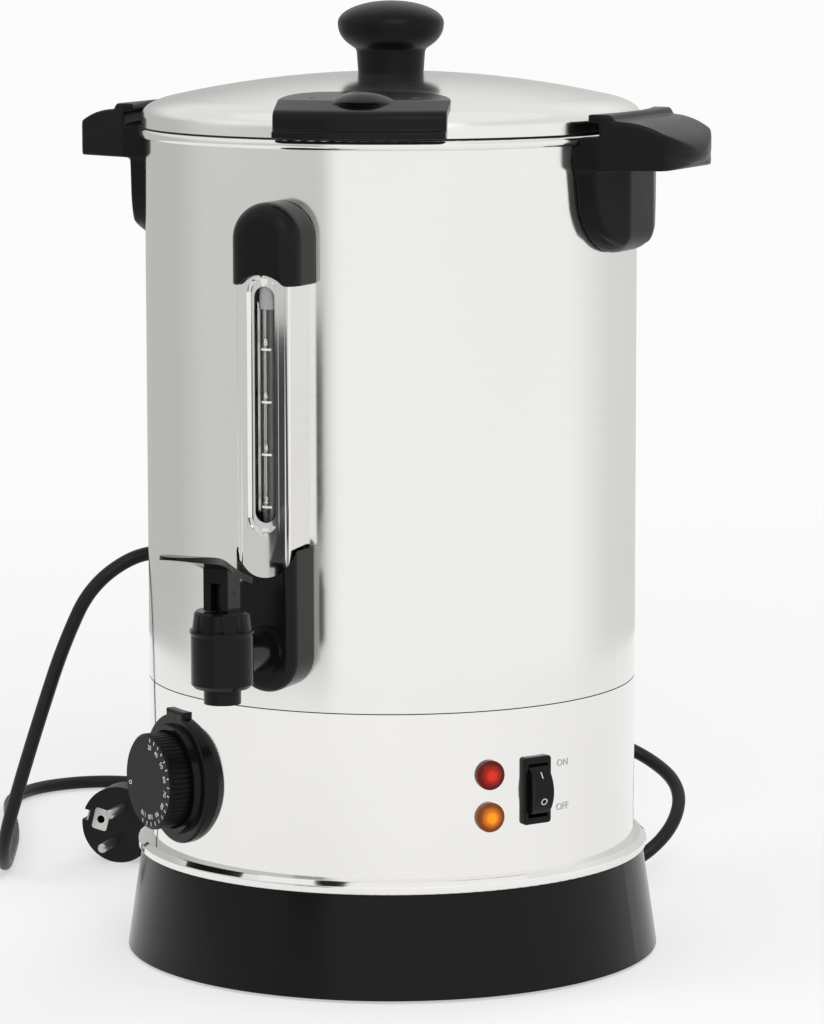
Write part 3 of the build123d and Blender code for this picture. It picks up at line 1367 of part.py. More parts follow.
cheek_slot = TONGUE_W + 2 * RUN_GAP
with BuildPart() as tap_lever:
    with BuildSketch(Plane.YZ.offset(-LEVER_HALF_SPAN)):
        with BuildLine():
            Spline(
                (-LEVER_TIP_R, LEVER_TIP_Z),
                (-TAP_R - 31, 219.8),
                (-TAP_R - 12, 215.6),
                (-TAP_R + 4, 209.2),
                (-LEVER_TAIL_R, LEVER_TAIL_Z),
            )
            Line((-LEVER_TAIL_R, LEVER_TAIL_Z), (-LEVER_TAIL_R - 0.8, LEVER_TAIL_Z - LEVER_T))
            Spline(
                (-LEVER_TAIL_R - 0.8, LEVER_TAIL_Z - LEVER_T),
                (-TAP_R + 2.8, 209.2 - LEVER_T),
                (-TAP_R - 11, 215.2 - LEVER_T),
                (-TAP_R - 31, 219.6 - LEVER_T),
                (-LEVER_TIP_R, LEVER_TIP_Z - LEVER_T / 2),
            )
            Line((-LEVER_TIP_R, LEVER_TIP_Z - LEVER_T / 2), (-LEVER_TIP_R, LEVER_TIP_Z))
        make_face()
    extrude(amount=2 * LEVER_HALF_SPAN)
    with BuildSketch(Plane.XY.offset(LEVER_HEEL_Z)):
        with BuildLine():
            Line((-LEVER_HALF_W, -LEVER_TAIL_R + 1), (LEVER_HALF_W, -LEVER_TAIL_R + 1))
            Spline(
                (LEVER_HALF_W, -LEVER_TAIL_R + 1),
                (LEVER_HALF_W, -TAP_R),
                (LEVER_HALF_SPAN, -TAP_R - 30),
                (0, -LEVER_TIP_R),
                tangents=((0, -1), (-1, 0)),
            )
            Spline(
                (0, -LEVER_TIP_R),
                (-LEVER_HALF_SPAN, -TAP_R - 30),
                (-LEVER_HALF_W, -TAP_R),
                (-LEVER_HALF_W, -LEVER_TAIL_R + 1),
                tangents=((-1, 0), (0, 1)),
            )
        make_face()
    extrude(amount=LEVER_TIP_Z - LEVER_HEEL_Z + 5, mode=Mode.INTERSECT)
    with BuildSketch(Plane.YZ.offset(-LEVER_HALF_W)):
        with BuildLine():
            Polyline(
                (-TAP_R - LEVER_HEEL, LEVER_HEEL_Z),
                (-TAP_R + LEVER_HEEL, LEVER_HEEL_Z),
                (-TAP_R + LEVER_HEEL, 206.4),
                (-TAP_R - LEVER_HEEL, 211.6),
                close=True,
            )
        make_face()
    extrude(amount=2 * LEVER_HALF_W)
    with Locations((0, -TAP_R, LEVER_HEEL_Z)):
        Box(
            cheek_slot,
            4 * LEVER_HEEL,
            LEVER_PIN_UP + hypot(STEM_R, TONGUE_TOP) + SEAT_GAP,
            align=(Align.CENTER, Align.CENTER, Align.MIN),
            mode=Mode.SUBTRACT,
        )
    with Locations((0, -TAP_R, PIN_Z)):
        Cylinder(PIN_R, 4 * LEVER_HALF_W, rotation=(0, 90, 0), mode=Mode.SUBTRACT)
save(tap_lever, "tap_lever")

# ---- Thermostat and its dial ----

with BuildPart(mode=Mode.PRIVATE) as body_mass:
    Cylinder(SHELL_R, 2 * SEAM_Z)

bezel_floor_r = SHELL_R + BEZEL_FLOOR_T
thermo_face_r = SHELL_IN_R - THERMO_GAP
with BuildPart() as dial_bezel:
    with BuildSketch(outward(DIAL_ANGLE, SHELL_R - BEZEL_SKIRT, CONTROL_Z)):
        Circle(BEZEL_R)
        with Locations((0, POINTER_TOP)):
            Rectangle(2 * POINTER_HALF_W, POINTER_TOP, align=(Align.CENTER, Align.MAX))
    extrude(amount=BEZEL_FLANGE_T + BEZEL_SKIRT)
    dial_axis = Axis((0, 0, CONTROL_Z), outward(DIAL_ANGLE, 0, CONTROL_Z).z_dir)
    bezel_front = dial_bezel.faces().filter_by(GeomType.PLANE).sort_by(dial_axis)[-1]
    fillet(bezel_front.edges(), BEZEL_ROUND)
    with BuildSketch(outward(DIAL_ANGLE, SHELL_R + BEZEL_FLANGE_T, CONTROL_Z)):
        Circle(BEZEL_RING_R)
    extrude(amount=BEZEL_RING_H, taper=BEZEL_RING_TAPER)
    add(body_mass.part, mode=Mode.SUBTRACT)
    with BuildSketch(outward(DIAL_ANGLE, bezel_floor_r, CONTROL_Z)):
        Circle(BEZEL_WELL_R)
    extrude(amount=BEZEL_FLANGE_T + BEZEL_RING_H, mode=Mode.SUBTRACT)
    with Locations(outward(DIAL_ANGLE, SHELL_R, CONTROL_Z)):
        Cylinder(THERMO_BUSH_R + FIT_GAP, SHELL_R / 3, mode=Mode.SUBTRACT)
        with GridLocations(THERMO_SCREW_PITCH, 0, 2, 1):
            Cylinder(THERMO_SCREW_R + FIT_GAP, SHELL_R / 3, mode=Mode.SUBTRACT)
save(dial_bezel, "dial_bezel")

with BuildPart() as dial_knob:
    with BuildSketch(outward(DIAL_ANGLE, DIAL_BACK_R, CONTROL_Z)):
        Circle(DIAL_R)
        with PolarLocations(DIAL_R, DIAL_RIBS):
            Circle(DIAL_RIB_CUT, mode=Mode.SUBTRACT)
    extrude(amount=DIAL_FACE_R - DIAL_BACK_R - DIAL_ROUND)
    with BuildSketch(outward(DIAL_ANGLE, DIAL_FACE_R - DIAL_ROUND, CONTROL_Z)):
        Circle(DIAL_R - DIAL_RIB_CUT)
    extrude(amount=DIAL_ROUND, taper=DIAL_ROUND_TAPER)
    with BuildSketch(outward(DIAL_ANGLE, DIAL_BACK_R, CONTROL_Z)):
        Circle(SHAFT_R)
    extrude(amount=SHAFT_BORE_DEPTH, mode=Mode.SUBTRACT)
save(dial_knob, "dial_knob")

with BuildPart() as thermostat_body:
    with BuildSketch(outward(DIAL_ANGLE, thermo_face_r, CONTROL_Z)):
        RectangleRounded(THERMO_W, THERMO_H, THERMO_CORNER_R)
    extrude(amount=-THERMO_D)
    with BuildSketch(outward(DIAL_ANGLE, thermo_face_r, CONTROL_Z)):
        Circle(THERMO_BUSH_R)
    extrude(amount=bezel_floor_r - thermo_face_r)
    with Locations(outward(DIAL_ANGLE, thermo_face_r - THERMO_D, CONTROL_Z)):
        with GridLocations(THERMO_W / 2, 0, 2, 1):
            Box(TAB_T, TAB_W, TAB_H, align=(Align.CENTER, Align.CENTER, Align.MAX))
    with Locations(outward(DIAL_ANGLE, DIAL_BACK_R, CONTROL_Z)):
        Cylinder(
            SHAFT_R + RUN_GAP,
            SHAFT_INNER_L,
            align=(Align.CENTER, Align.CENTER, Align.MAX),
            mode=Mode.SUBTRACT,
        )
    with Locations(outward(DIAL_ANGLE, thermo_face_r, CONTROL_Z)):
        with GridLocations(THERMO_SCREW_PITCH, 0, 2, 1):
            Cylinder(THERMO_SCREW_R, 2 * THERMO_SCREW_BITE, mode=Mode.SUBTRACT)
save(thermostat_body, "thermostat_body")

with BuildPart() as thermostat_screws:
    with Locations(outward(DIAL_ANGLE, bezel_floor_r, CONTROL_Z)):
        with GridLocations(THERMO_SCREW_PITCH, 0, 2, 1):
            Cylinder(
                THERMO_SCREW_HEAD_R,
                THERMO_SCREW_HEAD_H,
                align=(Align.CENTER, Align.CENTER, Align.MIN),
            )
            Cylinder(
                THERMO_SCREW_R,
                bezel_floor_r - thermo_face_r + THERMO_SCREW_BITE,
                align=(Align.CENTER, Align.CENTER, Align.MAX),
            )
save(thermostat_screws, "thermostat_screws")

shaft_end_r = DIAL_BACK_R - SHAFT_INNER_L + SEAT_GAP
with BuildPart() as dial_shaft:
    with Locations(outward(DIAL_ANGLE, shaft_end_r, CONTROL_Z)):
        Cylinder(
            SHAFT_R,
            DIAL_BACK_R + SHAFT_BORE_DEPTH - shaft_end_r,
            align=(Align.CENTER, Align.CENTER, Align.MIN),
        )
save(dial_shaft, "dial_shaft")

bulb_z = POT_FLOOR_Z - BULB_R
bulb_at = outward(DIAL_ANGLE, HEATER_PLATE_R + BULB_CLEAR + BULB_R, bulb_z)
capillary_z = CONTROL_Z + THERMO_H / 2 + CAPILLARY_R
capillary_at = outward(DIAL_ANGLE, thermo_face_r - THERMO_D / 2, capillary_z)
with BuildPart() as sensor_bulb:
    with Locations(bulb_at):
        Cylinder(BULB_R, BULB_LENGTH, rotation=(0, 90, 0))
    with BuildLine():
        Line(capillary_at.origin, bulb_at.origin)
    with BuildSketch(Plane(capillary_at.origin, z_dir=bulb_at.origin - capillary_at.origin)):
        Circle(CAPILLARY_R)
    sweep()
save(sensor_bulb, "sensor_bulb")

# ---- Indicator lamps ----

lamp_seat_r = SHELL_R - LAMP_SINK
lamp_rim_r = SHELL_R + LAMP_RIM_OUT
with BuildPart() as lamp_bodies:
    for lamp_z in (LAMP_RED_Z, LAMP_AMBER_Z):
        with BuildSketch(outward(LAMP_ANGLE, lamp_seat_r, lamp_z)):
            Circle(LAMP_BODY_R)
        extrude(amount=-LAMP_BODY_L)
        with BuildSketch(outward(LAMP_ANGLE, lamp_seat_r - LAMP_BODY_L, lamp_z)):
            with GridLocations(LAMP_BODY_R, 0, 2, 1):
                Rectangle(TAB_T, TAB_W / 2)
        extrude(amount=-TAB_H)
save(lamp_bodies, "lamp_bodies")

lens_sphere_r = (LAMP_LENS_R**2 + LAMP_LENS_H**2) / (2 * LAMP_LENS_H)
for lamp_name, lamp_z in (("lamp_heating", LAMP_RED_Z), ("lamp_keep_warm", LAMP_AMBER_Z)):
    with BuildPart() as lamp:
        with BuildSketch(outward(LAMP_ANGLE, lamp_seat_r, lamp_z)):
            Circle(LAMP_RIM_R)
        extrude(amount=lamp_rim_r - lamp_seat_r)
        lamp_front = lamp.faces().filter_by(GeomType.PLANE).sort_by(Axis.Y)[0]
        fillet(lamp_front.edges(), LAMP_ROUND)
        add(body_mass.part, mode=Mode.SUBTRACT)
        with BuildSketch(outward(LAMP_ANGLE, lamp_seat_r, lamp_z)):
            Circle(LAMP_BODY_R)
        extrude(amount=lamp_rim_r - lamp_seat_r)
        with Locations(outward(LAMP_ANGLE, lamp_rim_r + LAMP_LENS_H, lamp_z)):
            Sphere(
                lens_sphere_r,
                arc_size1=degrees(asin(1 - LAMP_LENS_H / lens_sphere_r)),
                align=(Align.CENTER, Align.CENTER, Align.MAX),
            )
    save(lamp, lamp_name)

# ---- Rocker switch ----

pivot_r = SHELL_R - ROCKER_PIVOT_IN
frame_front_r = SHELL_R + SWITCH_FRAME_OUT
switch_back_r = frame_front_r - SWITCH_BODY_D
rocker_well_d = frame_front_r - pivot_r + ROCKER_CLEAR
with BuildPart() as switch_frame:
    with BuildSketch(outward(SWITCH_ANGLE, SHELL_R - SWITCH_FRAME_OUT, SWITCH_Z)):
        RectangleRounded(SWITCH_W, SWITCH_H, SWITCH_CORNER_R)
    extrude(amount=2 * SWITCH_FRAME_OUT)
    frame_front = switch_frame.faces().filter_by(GeomType.PLANE).sort_by(Axis.Y)[0]
    fillet(frame_front.edges(), SWITCH_ROUND)
    add(body_mass.part, mode=Mode.SUBTRACT)
    with BuildSketch(outward(SWITCH_ANGLE, frame_front_r - SWITCH_ROUND, SWITCH_Z)):
        Rectangle(SWITCH_BODY_W, SWITCH_BODY_H)
    extrude(amount=SWITCH_ROUND - SWITCH_BODY_D)
    with BuildSketch(outward(SWITCH_ANGLE, frame_front_r, SWITCH_Z)):
        Rectangle(ROCKER_W + 2 * SEAT_GAP, ROCKER_H + 2 * SEAT_GAP)
    extrude(amount=-rocker_well_d, mode=Mode.SUBTRACT)
    with Locations(outward(SWITCH_ANGLE, pivot_r, SWITCH_Z)):
        Cylinder(
            ROCKER_PIN_R + RUN_GAP,
            ROCKER_W + 2 * ROCKER_PIN_L + 2 * SEAT_GAP,
            rotation=(0, 90, 0),
            mode=Mode.SUBTRACT,
        )
    with Locations(outward(SWITCH_ANGLE, switch_back_r, SWITCH_Z)):
        with GridLocations(0, SWITCH_BODY_H / 3, 1, 3):
            Box(TAB_W, TAB_T, TAB_H, align=(Align.CENTER, Align.CENTER, Align.MAX))
save(switch_frame, "switch_frame")

# The rocker rests with its upper end pressed in.
pivot = outward(SWITCH_ANGLE, pivot_r, SWITCH_Z)
rocker_out = pivot.z_dir * cos(radians(ROCKER_TILT)) + pivot.y_dir * sin(radians(ROCKER_TILT))
rocker_side = Plane(
    origin=pivot.origin - pivot.x_dir * (ROCKER_W / 2),
    x_dir=rocker_out,
    z_dir=-pivot.x_dir,
)
rocker_half_h = ROCKER_H / 2 - ROCKER_END_GAP
with BuildPart() as switch_rocker:
    with BuildSketch(rocker_side):
        with BuildLine():
            Polyline(
                (ROCKER_END_OUT, -rocker_half_h),
                (-ROCKER_BACK, -rocker_half_h * ROCKER_BACK_SHARE),
                (-ROCKER_BACK, rocker_half_h * ROCKER_BACK_SHARE),
                (ROCKER_END_OUT, rocker_half_h),
            )
            ThreePointArc(
                (ROCKER_END_OUT, rocker_half_h),
                (ROCKER_CREST_OUT, 0),
                (ROCKER_END_OUT, -rocker_half_h),
            )
        make_face()
    extrude(amount=-ROCKER_W)
    fillet(switch_rocker.edges().filter_by(Axis(pivot.origin, pivot.x_dir)), ROCKER_ROUND)
    with Locations(pivot):
        Cylinder(ROCKER_PIN_R, ROCKER_W + 2 * ROCKER_PIN_L, rotation=(0, 90, 0))
save(switch_rocker, "switch_rocker")

# ---- Mains lead ----

gland_tip_r = SHELL_R + GLAND_LENGTH
with BuildPart() as cord_gland:
    with BuildSketch(outward(GLAND_ANGLE, SHELL_R - GLAND_FLANGE_T, GLAND_Z)):
        Circle(GLAND_FLANGE_R)
    extrude(amount=2 * GLAND_FLANGE_T)
    gland_face = cord_gland.faces().filter_by(GeomType.PLANE).sort_by(Axis.Y)[-1]
    chamfer(gland_face.edges(), GLAND_FLANGE_T / 3)
    add(body_mass.part, mode=Mode.SUBTRACT)
    with BuildSketch(outward(GLAND_ANGLE, SHELL_R + GLAND_FLANGE_T, GLAND_Z)):
        Circle(GLAND_ROOT_R)
    with BuildSketch(outward(GLAND_ANGLE, gland_tip_r, GLAND_Z)):
        Circle(GLAND_TIP_R)
    loft()
    # Grooves let the relief bend with the lead.
    for groove in range(GLAND_GROOVES):
        groove_r = SHELL_R + GLAND_FLANGE_T + GLAND_GROOVE_PITCH * (groove + 1)
        with BuildSketch(outward(GLAND_ANGLE, groove_r, GLAND_Z)):
            Circle(GLAND_ROOT_R)
            Circle(GLAND_TIP_R, mode=Mode.SUBTRACT)
        extrude(amount=GLAND_GROOVE_W, mode=Mode.SUBTRACT)
    with BuildSketch(outward(GLAND_ANGLE, SHELL_IN_R - GLAND_NUT_T, GLAND_Z)):
        Circle(GLAND_NECK_R)
    extrude(amount=GLAND_NUT_T + GLAND_FLANGE_T)
    with BuildSketch(outward(GLAND_ANGLE, SHELL_IN_R - SEAT_GAP, GLAND_Z)):
        RegularPolygon(GLAND_NUT_R, 6)
    extrude(amount=-GLAND_NUT_T)
save(cord_gland, "cord_gland")

with BuildPart() as terminal_block:
    with BuildSketch(Plane.XY.offset(PLATE_Z + PLATE_T)):
        with Locations((0, TERMINAL_Y)):
            RectangleRounded(TERMINAL_W, TERMINAL_D, TAB_T)
    extrude(amount=TERMINAL_H)
    with Locations((0, TERMINAL_Y, PLATE_Z + PLATE_T + TERMINAL_H)):
        with GridLocations(TERMINAL_W / 3, 0, 3, 1):
            Cylinder(SCREW_R, TERMINAL_H, mode=Mode.SUBTRACT)
            Box(
                TERMINAL_W / 3 - 2 * TAB_T,
                TERMINAL_D - 4 * TAB_T,
                TERMINAL_H / 3,
                mode=Mode.SUBTRACT,
            )
save(terminal_block, "terminal_block")

# The route of the lead was chosen by hand: straight out of the relief, round to the floor
# behind the body, up against its back, over in an arch at the left and down again, away
# over the floor, and round behind the urn to the plug.
CORD_ROUTE = [
    (0, gland_tip_r, GLAND_Z),
    (0, 183, GLAND_Z),
    (11, 215, 68),
    (37, 233, 56),
    (65, 221, 42),
    (70, 193, 23),
    (51, 171, 5),
    (17, 162, 4),
    (-19, 153, 4),
    (-53, 140, 12),
    (-76, 123, 44),
    (-92, 105, 88),
    (-108, 84, 131),
    (-126, 58, 168),
    (-148, 32, 183),
    (-172, 11, 166),
    (-188, 9, 133),
    (-203, 13, 98),
    (-218, 17, 61),
    (-232, 21, 24),
    (-245, 44, 5),
    (-263, 81, 4),
    (-286, 126, 4),
    (-314, 170, 4),
    (-336, 208, 4),
    (-338, 243, 4),
    (-318, 272, 4),
    (-284, 280, 4),
    (-252, 262, 4),
    (-231, 230, 7),
    (-220, 186.8, PLUG_R),
    (-216, 157.1, PLUG_R),
]
BEND_SHARE = 0.45  # each arc takes this share of its shorter run


def bend_radii(route):
    """Radius at each corner of a route, from its shorter run and half its turn."""
    radii = []
    for before, corner, after in zip(route, route[1:], route[2:]):
        run_in = Vector(corner) - Vector(before)
        run_out = Vector(after) - Vector(corner)
        half_turn = radians(run_in.get_angle(run_out) / 2)
        radii.append(BEND_SHARE * min(run_in.length, run_out.length) / tan(half_turn))
    return radii


cord_radii = bend_radii(CORD_ROUTE)
with BuildPart() as mains_cord:
    with BuildLine() as cord_line:
        FilletPolyline(*CORD_ROUTE, radius=cord_radii)
    with BuildSketch(outward(GLAND_ANGLE, gland_tip_r, GLAND_Z)):
        Circle(CORD_R)
    sweep()
save(mains_cord, "mains_cord")

cord_length = sum(edge.length for edge in cord_line.edges())
print("cord radii", [round(radius) for radius in cord_radii])
print("cord length", round(cord_length), "volume share", end=" ")
print(round(mains_cord.part.volume / (pi * CORD_R**2 * cord_length), 4))

# The plug lies on the floor, in line with the end of its lead. Local x runs out of the
# plug's face and the pins stand in a row that is rolled about it.
cord_end = Vector(CORD_ROUTE[-1])
plug_out = (cord_end - Vector(CORD_ROUTE[-2])).normalized()
plug_up = Vector(0, 0, 1)
plug_side = plug_up.cross(plug_out)
plug_roll = radians(PLUG_ROLL)
plug_frame = Plane(
    cord_end,
    x_dir=plug_side * cos(plug_roll) - plug_up * sin(plug_roll),
    z_dir=plug_out,
)
plug_face = plug_frame.offset(PLUG_TAIL_L + PLUG_BODY_L)
plug_neck = plug_frame.offset(PLUG_TAIL_L)

with BuildPart() as plug_body:
    with BuildSketch(plug_frame):
        Circle(PLUG_TAIL_TIP_R)
    with BuildSketch(plug_neck):
        Circle(PLUG_TAIL_R)
    loft()
    with BuildSketch(plug_neck):
        Circle(PLUG_NECK_R)
    with BuildSketch(plug_frame.offset(PLUG_TAIL_L + PLUG_BODY_L / 2)):
        Circle(PLUG_R)
    loft()
    with BuildSketch(plug_face):
        Circle(PLUG_R)
    extrude(amount=-PLUG_BODY_L / 2)
    with BuildSketch(plug_face):
        with GridLocations(2 * PLUG_R, 0, 2, 1):
            Rectangle(2 * PLUG_NOTCH_D, PLUG_NOTCH_W)
    extrude(amount=-PLUG_NOTCH_L, mode=Mode.SUBTRACT)
    with BuildSketch(plug_face):
        with Locations((-PLUG_EARTH_AT, 0)):
            Circle(PLUG_EARTH_R)
    extrude(amount=-PLUG_PIN_L, mode=Mode.SUBTRACT)
    with BuildSketch(plug_face):
        with Locations((-PLUG_EARTH_AT, 0)):
            RectangleRounded(PLUG_PLATE_W, PLUG_PLATE_L, PLUG_PLATE_ROUND)
    extrude(amount=-PLUG_CLIP_T, mode=Mode.SUBTRACT)
save(plug_body, "plug_body")

with BuildPart() as plug_pins:
    with BuildSketch(plug_face):
        with GridLocations(0, PLUG_PIN_PITCH, 1, 2):
            Circle(PLUG_PIN_R)
    extrude(amount=PLUG_PIN_L - PLUG_PIN_R / 2)
    with BuildSketch(plug_face.offset(PLUG_PIN_L - PLUG_PIN_R / 2)):
        with GridLocations(0, PLUG_PIN_PITCH, 1, 2):
            Circle(PLUG_PIN_R)
    extrude(amount=PLUG_PIN_R / 2, taper=PLUG_PIN_TAPER)
save(plug_pins, "plug_pins")

with BuildPart() as plug_earth:
    with BuildSketch(plug_face):
        with GridLocations(2 * (PLUG_R - PLUG_NOTCH_D) + PLUG_CLIP_T, 0, 2, 1):
            Rectangle(PLUG_CLIP_T, PLUG_NOTCH_W - 2 * FIT_GAP)
    extrude(amount=-PLUG_NOTCH_L)
    with BuildSketch(plug_face.offset(-PLUG_PIN_L)):
        with Locations((-PLUG_EARTH_AT, 0)):
            Circle(PLUG_EARTH_R)
            Circle(PLUG_EARTH_R - PLUG_CLIP_T, mode=Mode.SUBTRACT)
    extrude(amount=PLUG_PIN_L - PLUG_CLIP_T)
    with BuildSketch(plug_face):
        with Locations((-PLUG_EARTH_AT, 0)):
            RectangleRounded(
                PLUG_PLATE_W - 2 * FIT_GAP,
                PLUG_PLATE_L - 2 * FIT_GAP,
                PLUG_PLATE_ROUND,
            )
            Circle(PLUG_EARTH_R - PLUG_CLIP_T, mode=Mode.SUBTRACT)
    extrude(amount=-PLUG_CLIP_T)
save(plug_earth, "plug_earth")
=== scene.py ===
import json
import math

import bmesh
import bpy
from mathutils import Matrix, Vector


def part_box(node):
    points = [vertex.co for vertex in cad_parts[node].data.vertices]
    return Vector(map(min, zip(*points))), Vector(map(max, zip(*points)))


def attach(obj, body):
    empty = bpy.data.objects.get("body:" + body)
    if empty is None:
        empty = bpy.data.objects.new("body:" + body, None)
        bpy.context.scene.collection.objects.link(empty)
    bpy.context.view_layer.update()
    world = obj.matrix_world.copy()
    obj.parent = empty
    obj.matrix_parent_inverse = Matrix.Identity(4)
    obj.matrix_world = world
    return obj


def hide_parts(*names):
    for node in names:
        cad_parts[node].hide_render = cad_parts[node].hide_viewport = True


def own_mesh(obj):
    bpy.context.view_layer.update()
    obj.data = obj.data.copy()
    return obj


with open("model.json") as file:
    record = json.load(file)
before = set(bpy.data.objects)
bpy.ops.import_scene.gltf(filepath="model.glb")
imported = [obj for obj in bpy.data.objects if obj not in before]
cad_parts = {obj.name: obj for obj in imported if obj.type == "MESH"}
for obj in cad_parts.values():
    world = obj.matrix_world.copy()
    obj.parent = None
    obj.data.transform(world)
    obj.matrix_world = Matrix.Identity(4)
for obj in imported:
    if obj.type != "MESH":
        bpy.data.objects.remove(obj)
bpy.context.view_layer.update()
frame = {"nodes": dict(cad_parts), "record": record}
scene = bpy.context.scene
scene.view_settings.view_transform = "Standard"


# ---- Sizes of the urn that the pieces below sit on, in metres and degrees ----

def middle_of(node):
    """The middle of a node's box at rest."""
    low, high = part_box(node)
    return (low + high) / 2


def spot_on(radius, turn):
    """The x and y of a spot round an upright axis, by its turn from the tap towards +X."""
    return radius * math.sin(turn), -radius * math.cos(turn)


SHELL_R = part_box("lower_housing")[1].x
SEAM_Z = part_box("outer_shell")[0].z
TUBE_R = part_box("gauge_tube")[1].x
TUBE_AXIS_R = -middle_of("gauge_tube").y
GUARD_HALF_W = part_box("gauge_guard")[1].x
GUARD_FRONT_R = -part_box("gauge_guard")[0].y
GUARD_BACK_R = 0.1175
DIAL_Z = middle_of("dial_knob").z
DIAL_ANGLE = -33.7
DIAL_FACE_R = 0.135
BEZEL_FRONT_R = 0.1208
LAMP_HEATING_Z = middle_of("lamp_heating").z
LAMP_WARM_Z = middle_of("lamp_keep_warm").z
LAMP_ANGLE = 47.8
SWITCH_ANGLE = 59.8
SWITCH_Z = 0.095
ROCKER_PIVOT_R = 0.115
ROCKER_TILT = 8.0
ROCKER_CREST_OUT = 0.0108
ROCKER_CURVE_R = 0.0153
CORD_R = 0.0035

# The mains lead's route, from its gland to its plug
CORD_ROUTE = (
    (0.000, 0.150, 0.076), (0.000, 0.183, 0.076), (0.011, 0.215, 0.068),
    (0.037, 0.233, 0.056), (0.065, 0.221, 0.042), (0.070, 0.193, 0.023),
    (0.051, 0.171, 0.005), (0.017, 0.162, 0.004), (-0.019, 0.153, 0.004),
    (-0.053, 0.140, 0.012), (-0.076, 0.123, 0.044), (-0.092, 0.105, 0.088),
    (-0.108, 0.084, 0.131), (-0.126, 0.058, 0.168), (-0.148, 0.032, 0.183),
    (-0.172, 0.011, 0.166), (-0.188, 0.009, 0.133), (-0.203, 0.013, 0.098),
    (-0.218, 0.017, 0.061), (-0.232, 0.021, 0.024), (-0.245, 0.044, 0.005),
    (-0.263, 0.081, 0.004), (-0.286, 0.126, 0.004), (-0.314, 0.170, 0.004),
    (-0.336, 0.208, 0.004), (-0.338, 0.243, 0.004), (-0.318, 0.272, 0.004),
    (-0.284, 0.280, 0.004), (-0.252, 0.262, 0.004), (-0.231, 0.230, 0.007),
    (-0.220, 0.1868, 0.0203), (-0.216, 0.1571, 0.0203),
)


# ---- Shader groups ----

def add_socket(tree, name, direction, kind, default=None):
    """Adds one named input or output to a node group."""
    socket = tree.interface.new_socket(name=name, in_out=direction, socket_type=kind)
    if default is not None:
        socket.default_value = default
    return socket


class Wiring:
    """Short ways to add and join nodes in one tree."""

    def __init__(self, tree):
        self.tree = tree

    def node(self, kind, **settings):
        made = self.tree.nodes.new(kind)
        for key, value in settings.items():
            setattr(made, key, value)
        return made

    def join(self, source, target):
        self.tree.links.new(source, target)

    def feed(self, target, value):
        if isinstance(value, bpy.types.NodeSocket):
            self.join(value, target)
        else:
            target.default_value = value

    def math(self, operation, a, b=0.0, c=None):
        made = self.node("ShaderNodeMath", operation=operation)
        self.feed(made.inputs[0], a)
        self.feed(made.inputs[1], b)
        if c is not None:
            self.feed(made.inputs[2], c)
        return made.outputs[0]

    def combine(self, x=None, y=None, z=None):
        """A vector from the numbers that are given, with 0 for the others."""
        made = self.node("ShaderNodeCombineXYZ")
        for socket, value in zip(made.inputs, (x, y, z)):
            if value is not None:
                self.feed(socket, value)
        return made.outputs[0]

    def split(self, vector):
        made = self.node("ShaderNodeSeparateXYZ")
        self.join(vector, made.inputs[0])
        return made.outputs

    def noise(self, vector, scale, detail=2.0, roughness=0.5):
        made = self.node("ShaderNodeTexNoise")
        self.feed(made.inputs["Vector"], vector)
        self.feed(made.inputs["Scale"], scale)
        self.feed(made.inputs["Detail"], detail)
        self.feed(made.inputs["Roughness"], roughness)
        return made.outputs["Fac"]

    def spread(self, value, low, high, to_low=0.0, to_high=1.0):
        made = self.node("ShaderNodeMapRange")
        self.feed(made.inputs["Value"], value)
        self.feed(made.inputs["From Min"], low)
        self.feed(made.inputs["From Max"], high)
        self.feed(made.inputs["To Min"], to_low)
        self.feed(made.inputs["To Max"], to_high)
        return made.outputs["Result"]

    def stretch(self, vector, amounts):
        made = self.node("ShaderNodeVectorMath", operation="MULTIPLY")
        self.feed(made.inputs[0], vector)
        self.feed(made.inputs[1], amounts)
        return made.outputs["Vector"]

    def blend(self, factor, a, b):
        made = self.node("ShaderNodeMix", data_type="RGBA")
        self.feed(made.inputs["Factor"], factor)
        self.feed(made.inputs[6], a)
        self.feed(made.inputs[7], b)
        return made.outputs[2]


def bare_tree(owner):
    """The emptied node tree of a material or a world, ready for wiring."""
    owner.use_nodes = True
    owner.node_tree.nodes.clear()
    return Wiring(owner.node_tree)


# How the patterns of sheet metal are drawn out along the urn's height
WAVE_STRETCH = (1.0, 1.0, 0.45)
HAIR_STRETCH = (1.0, 1.0, 55.0)
WIPE_STRETCH = (1.0, 1.0, 0.6)
WIPE_SCALE = 26.0
HAIR_ROUGHENS = 0.04
DUST_SHARE = 0.12


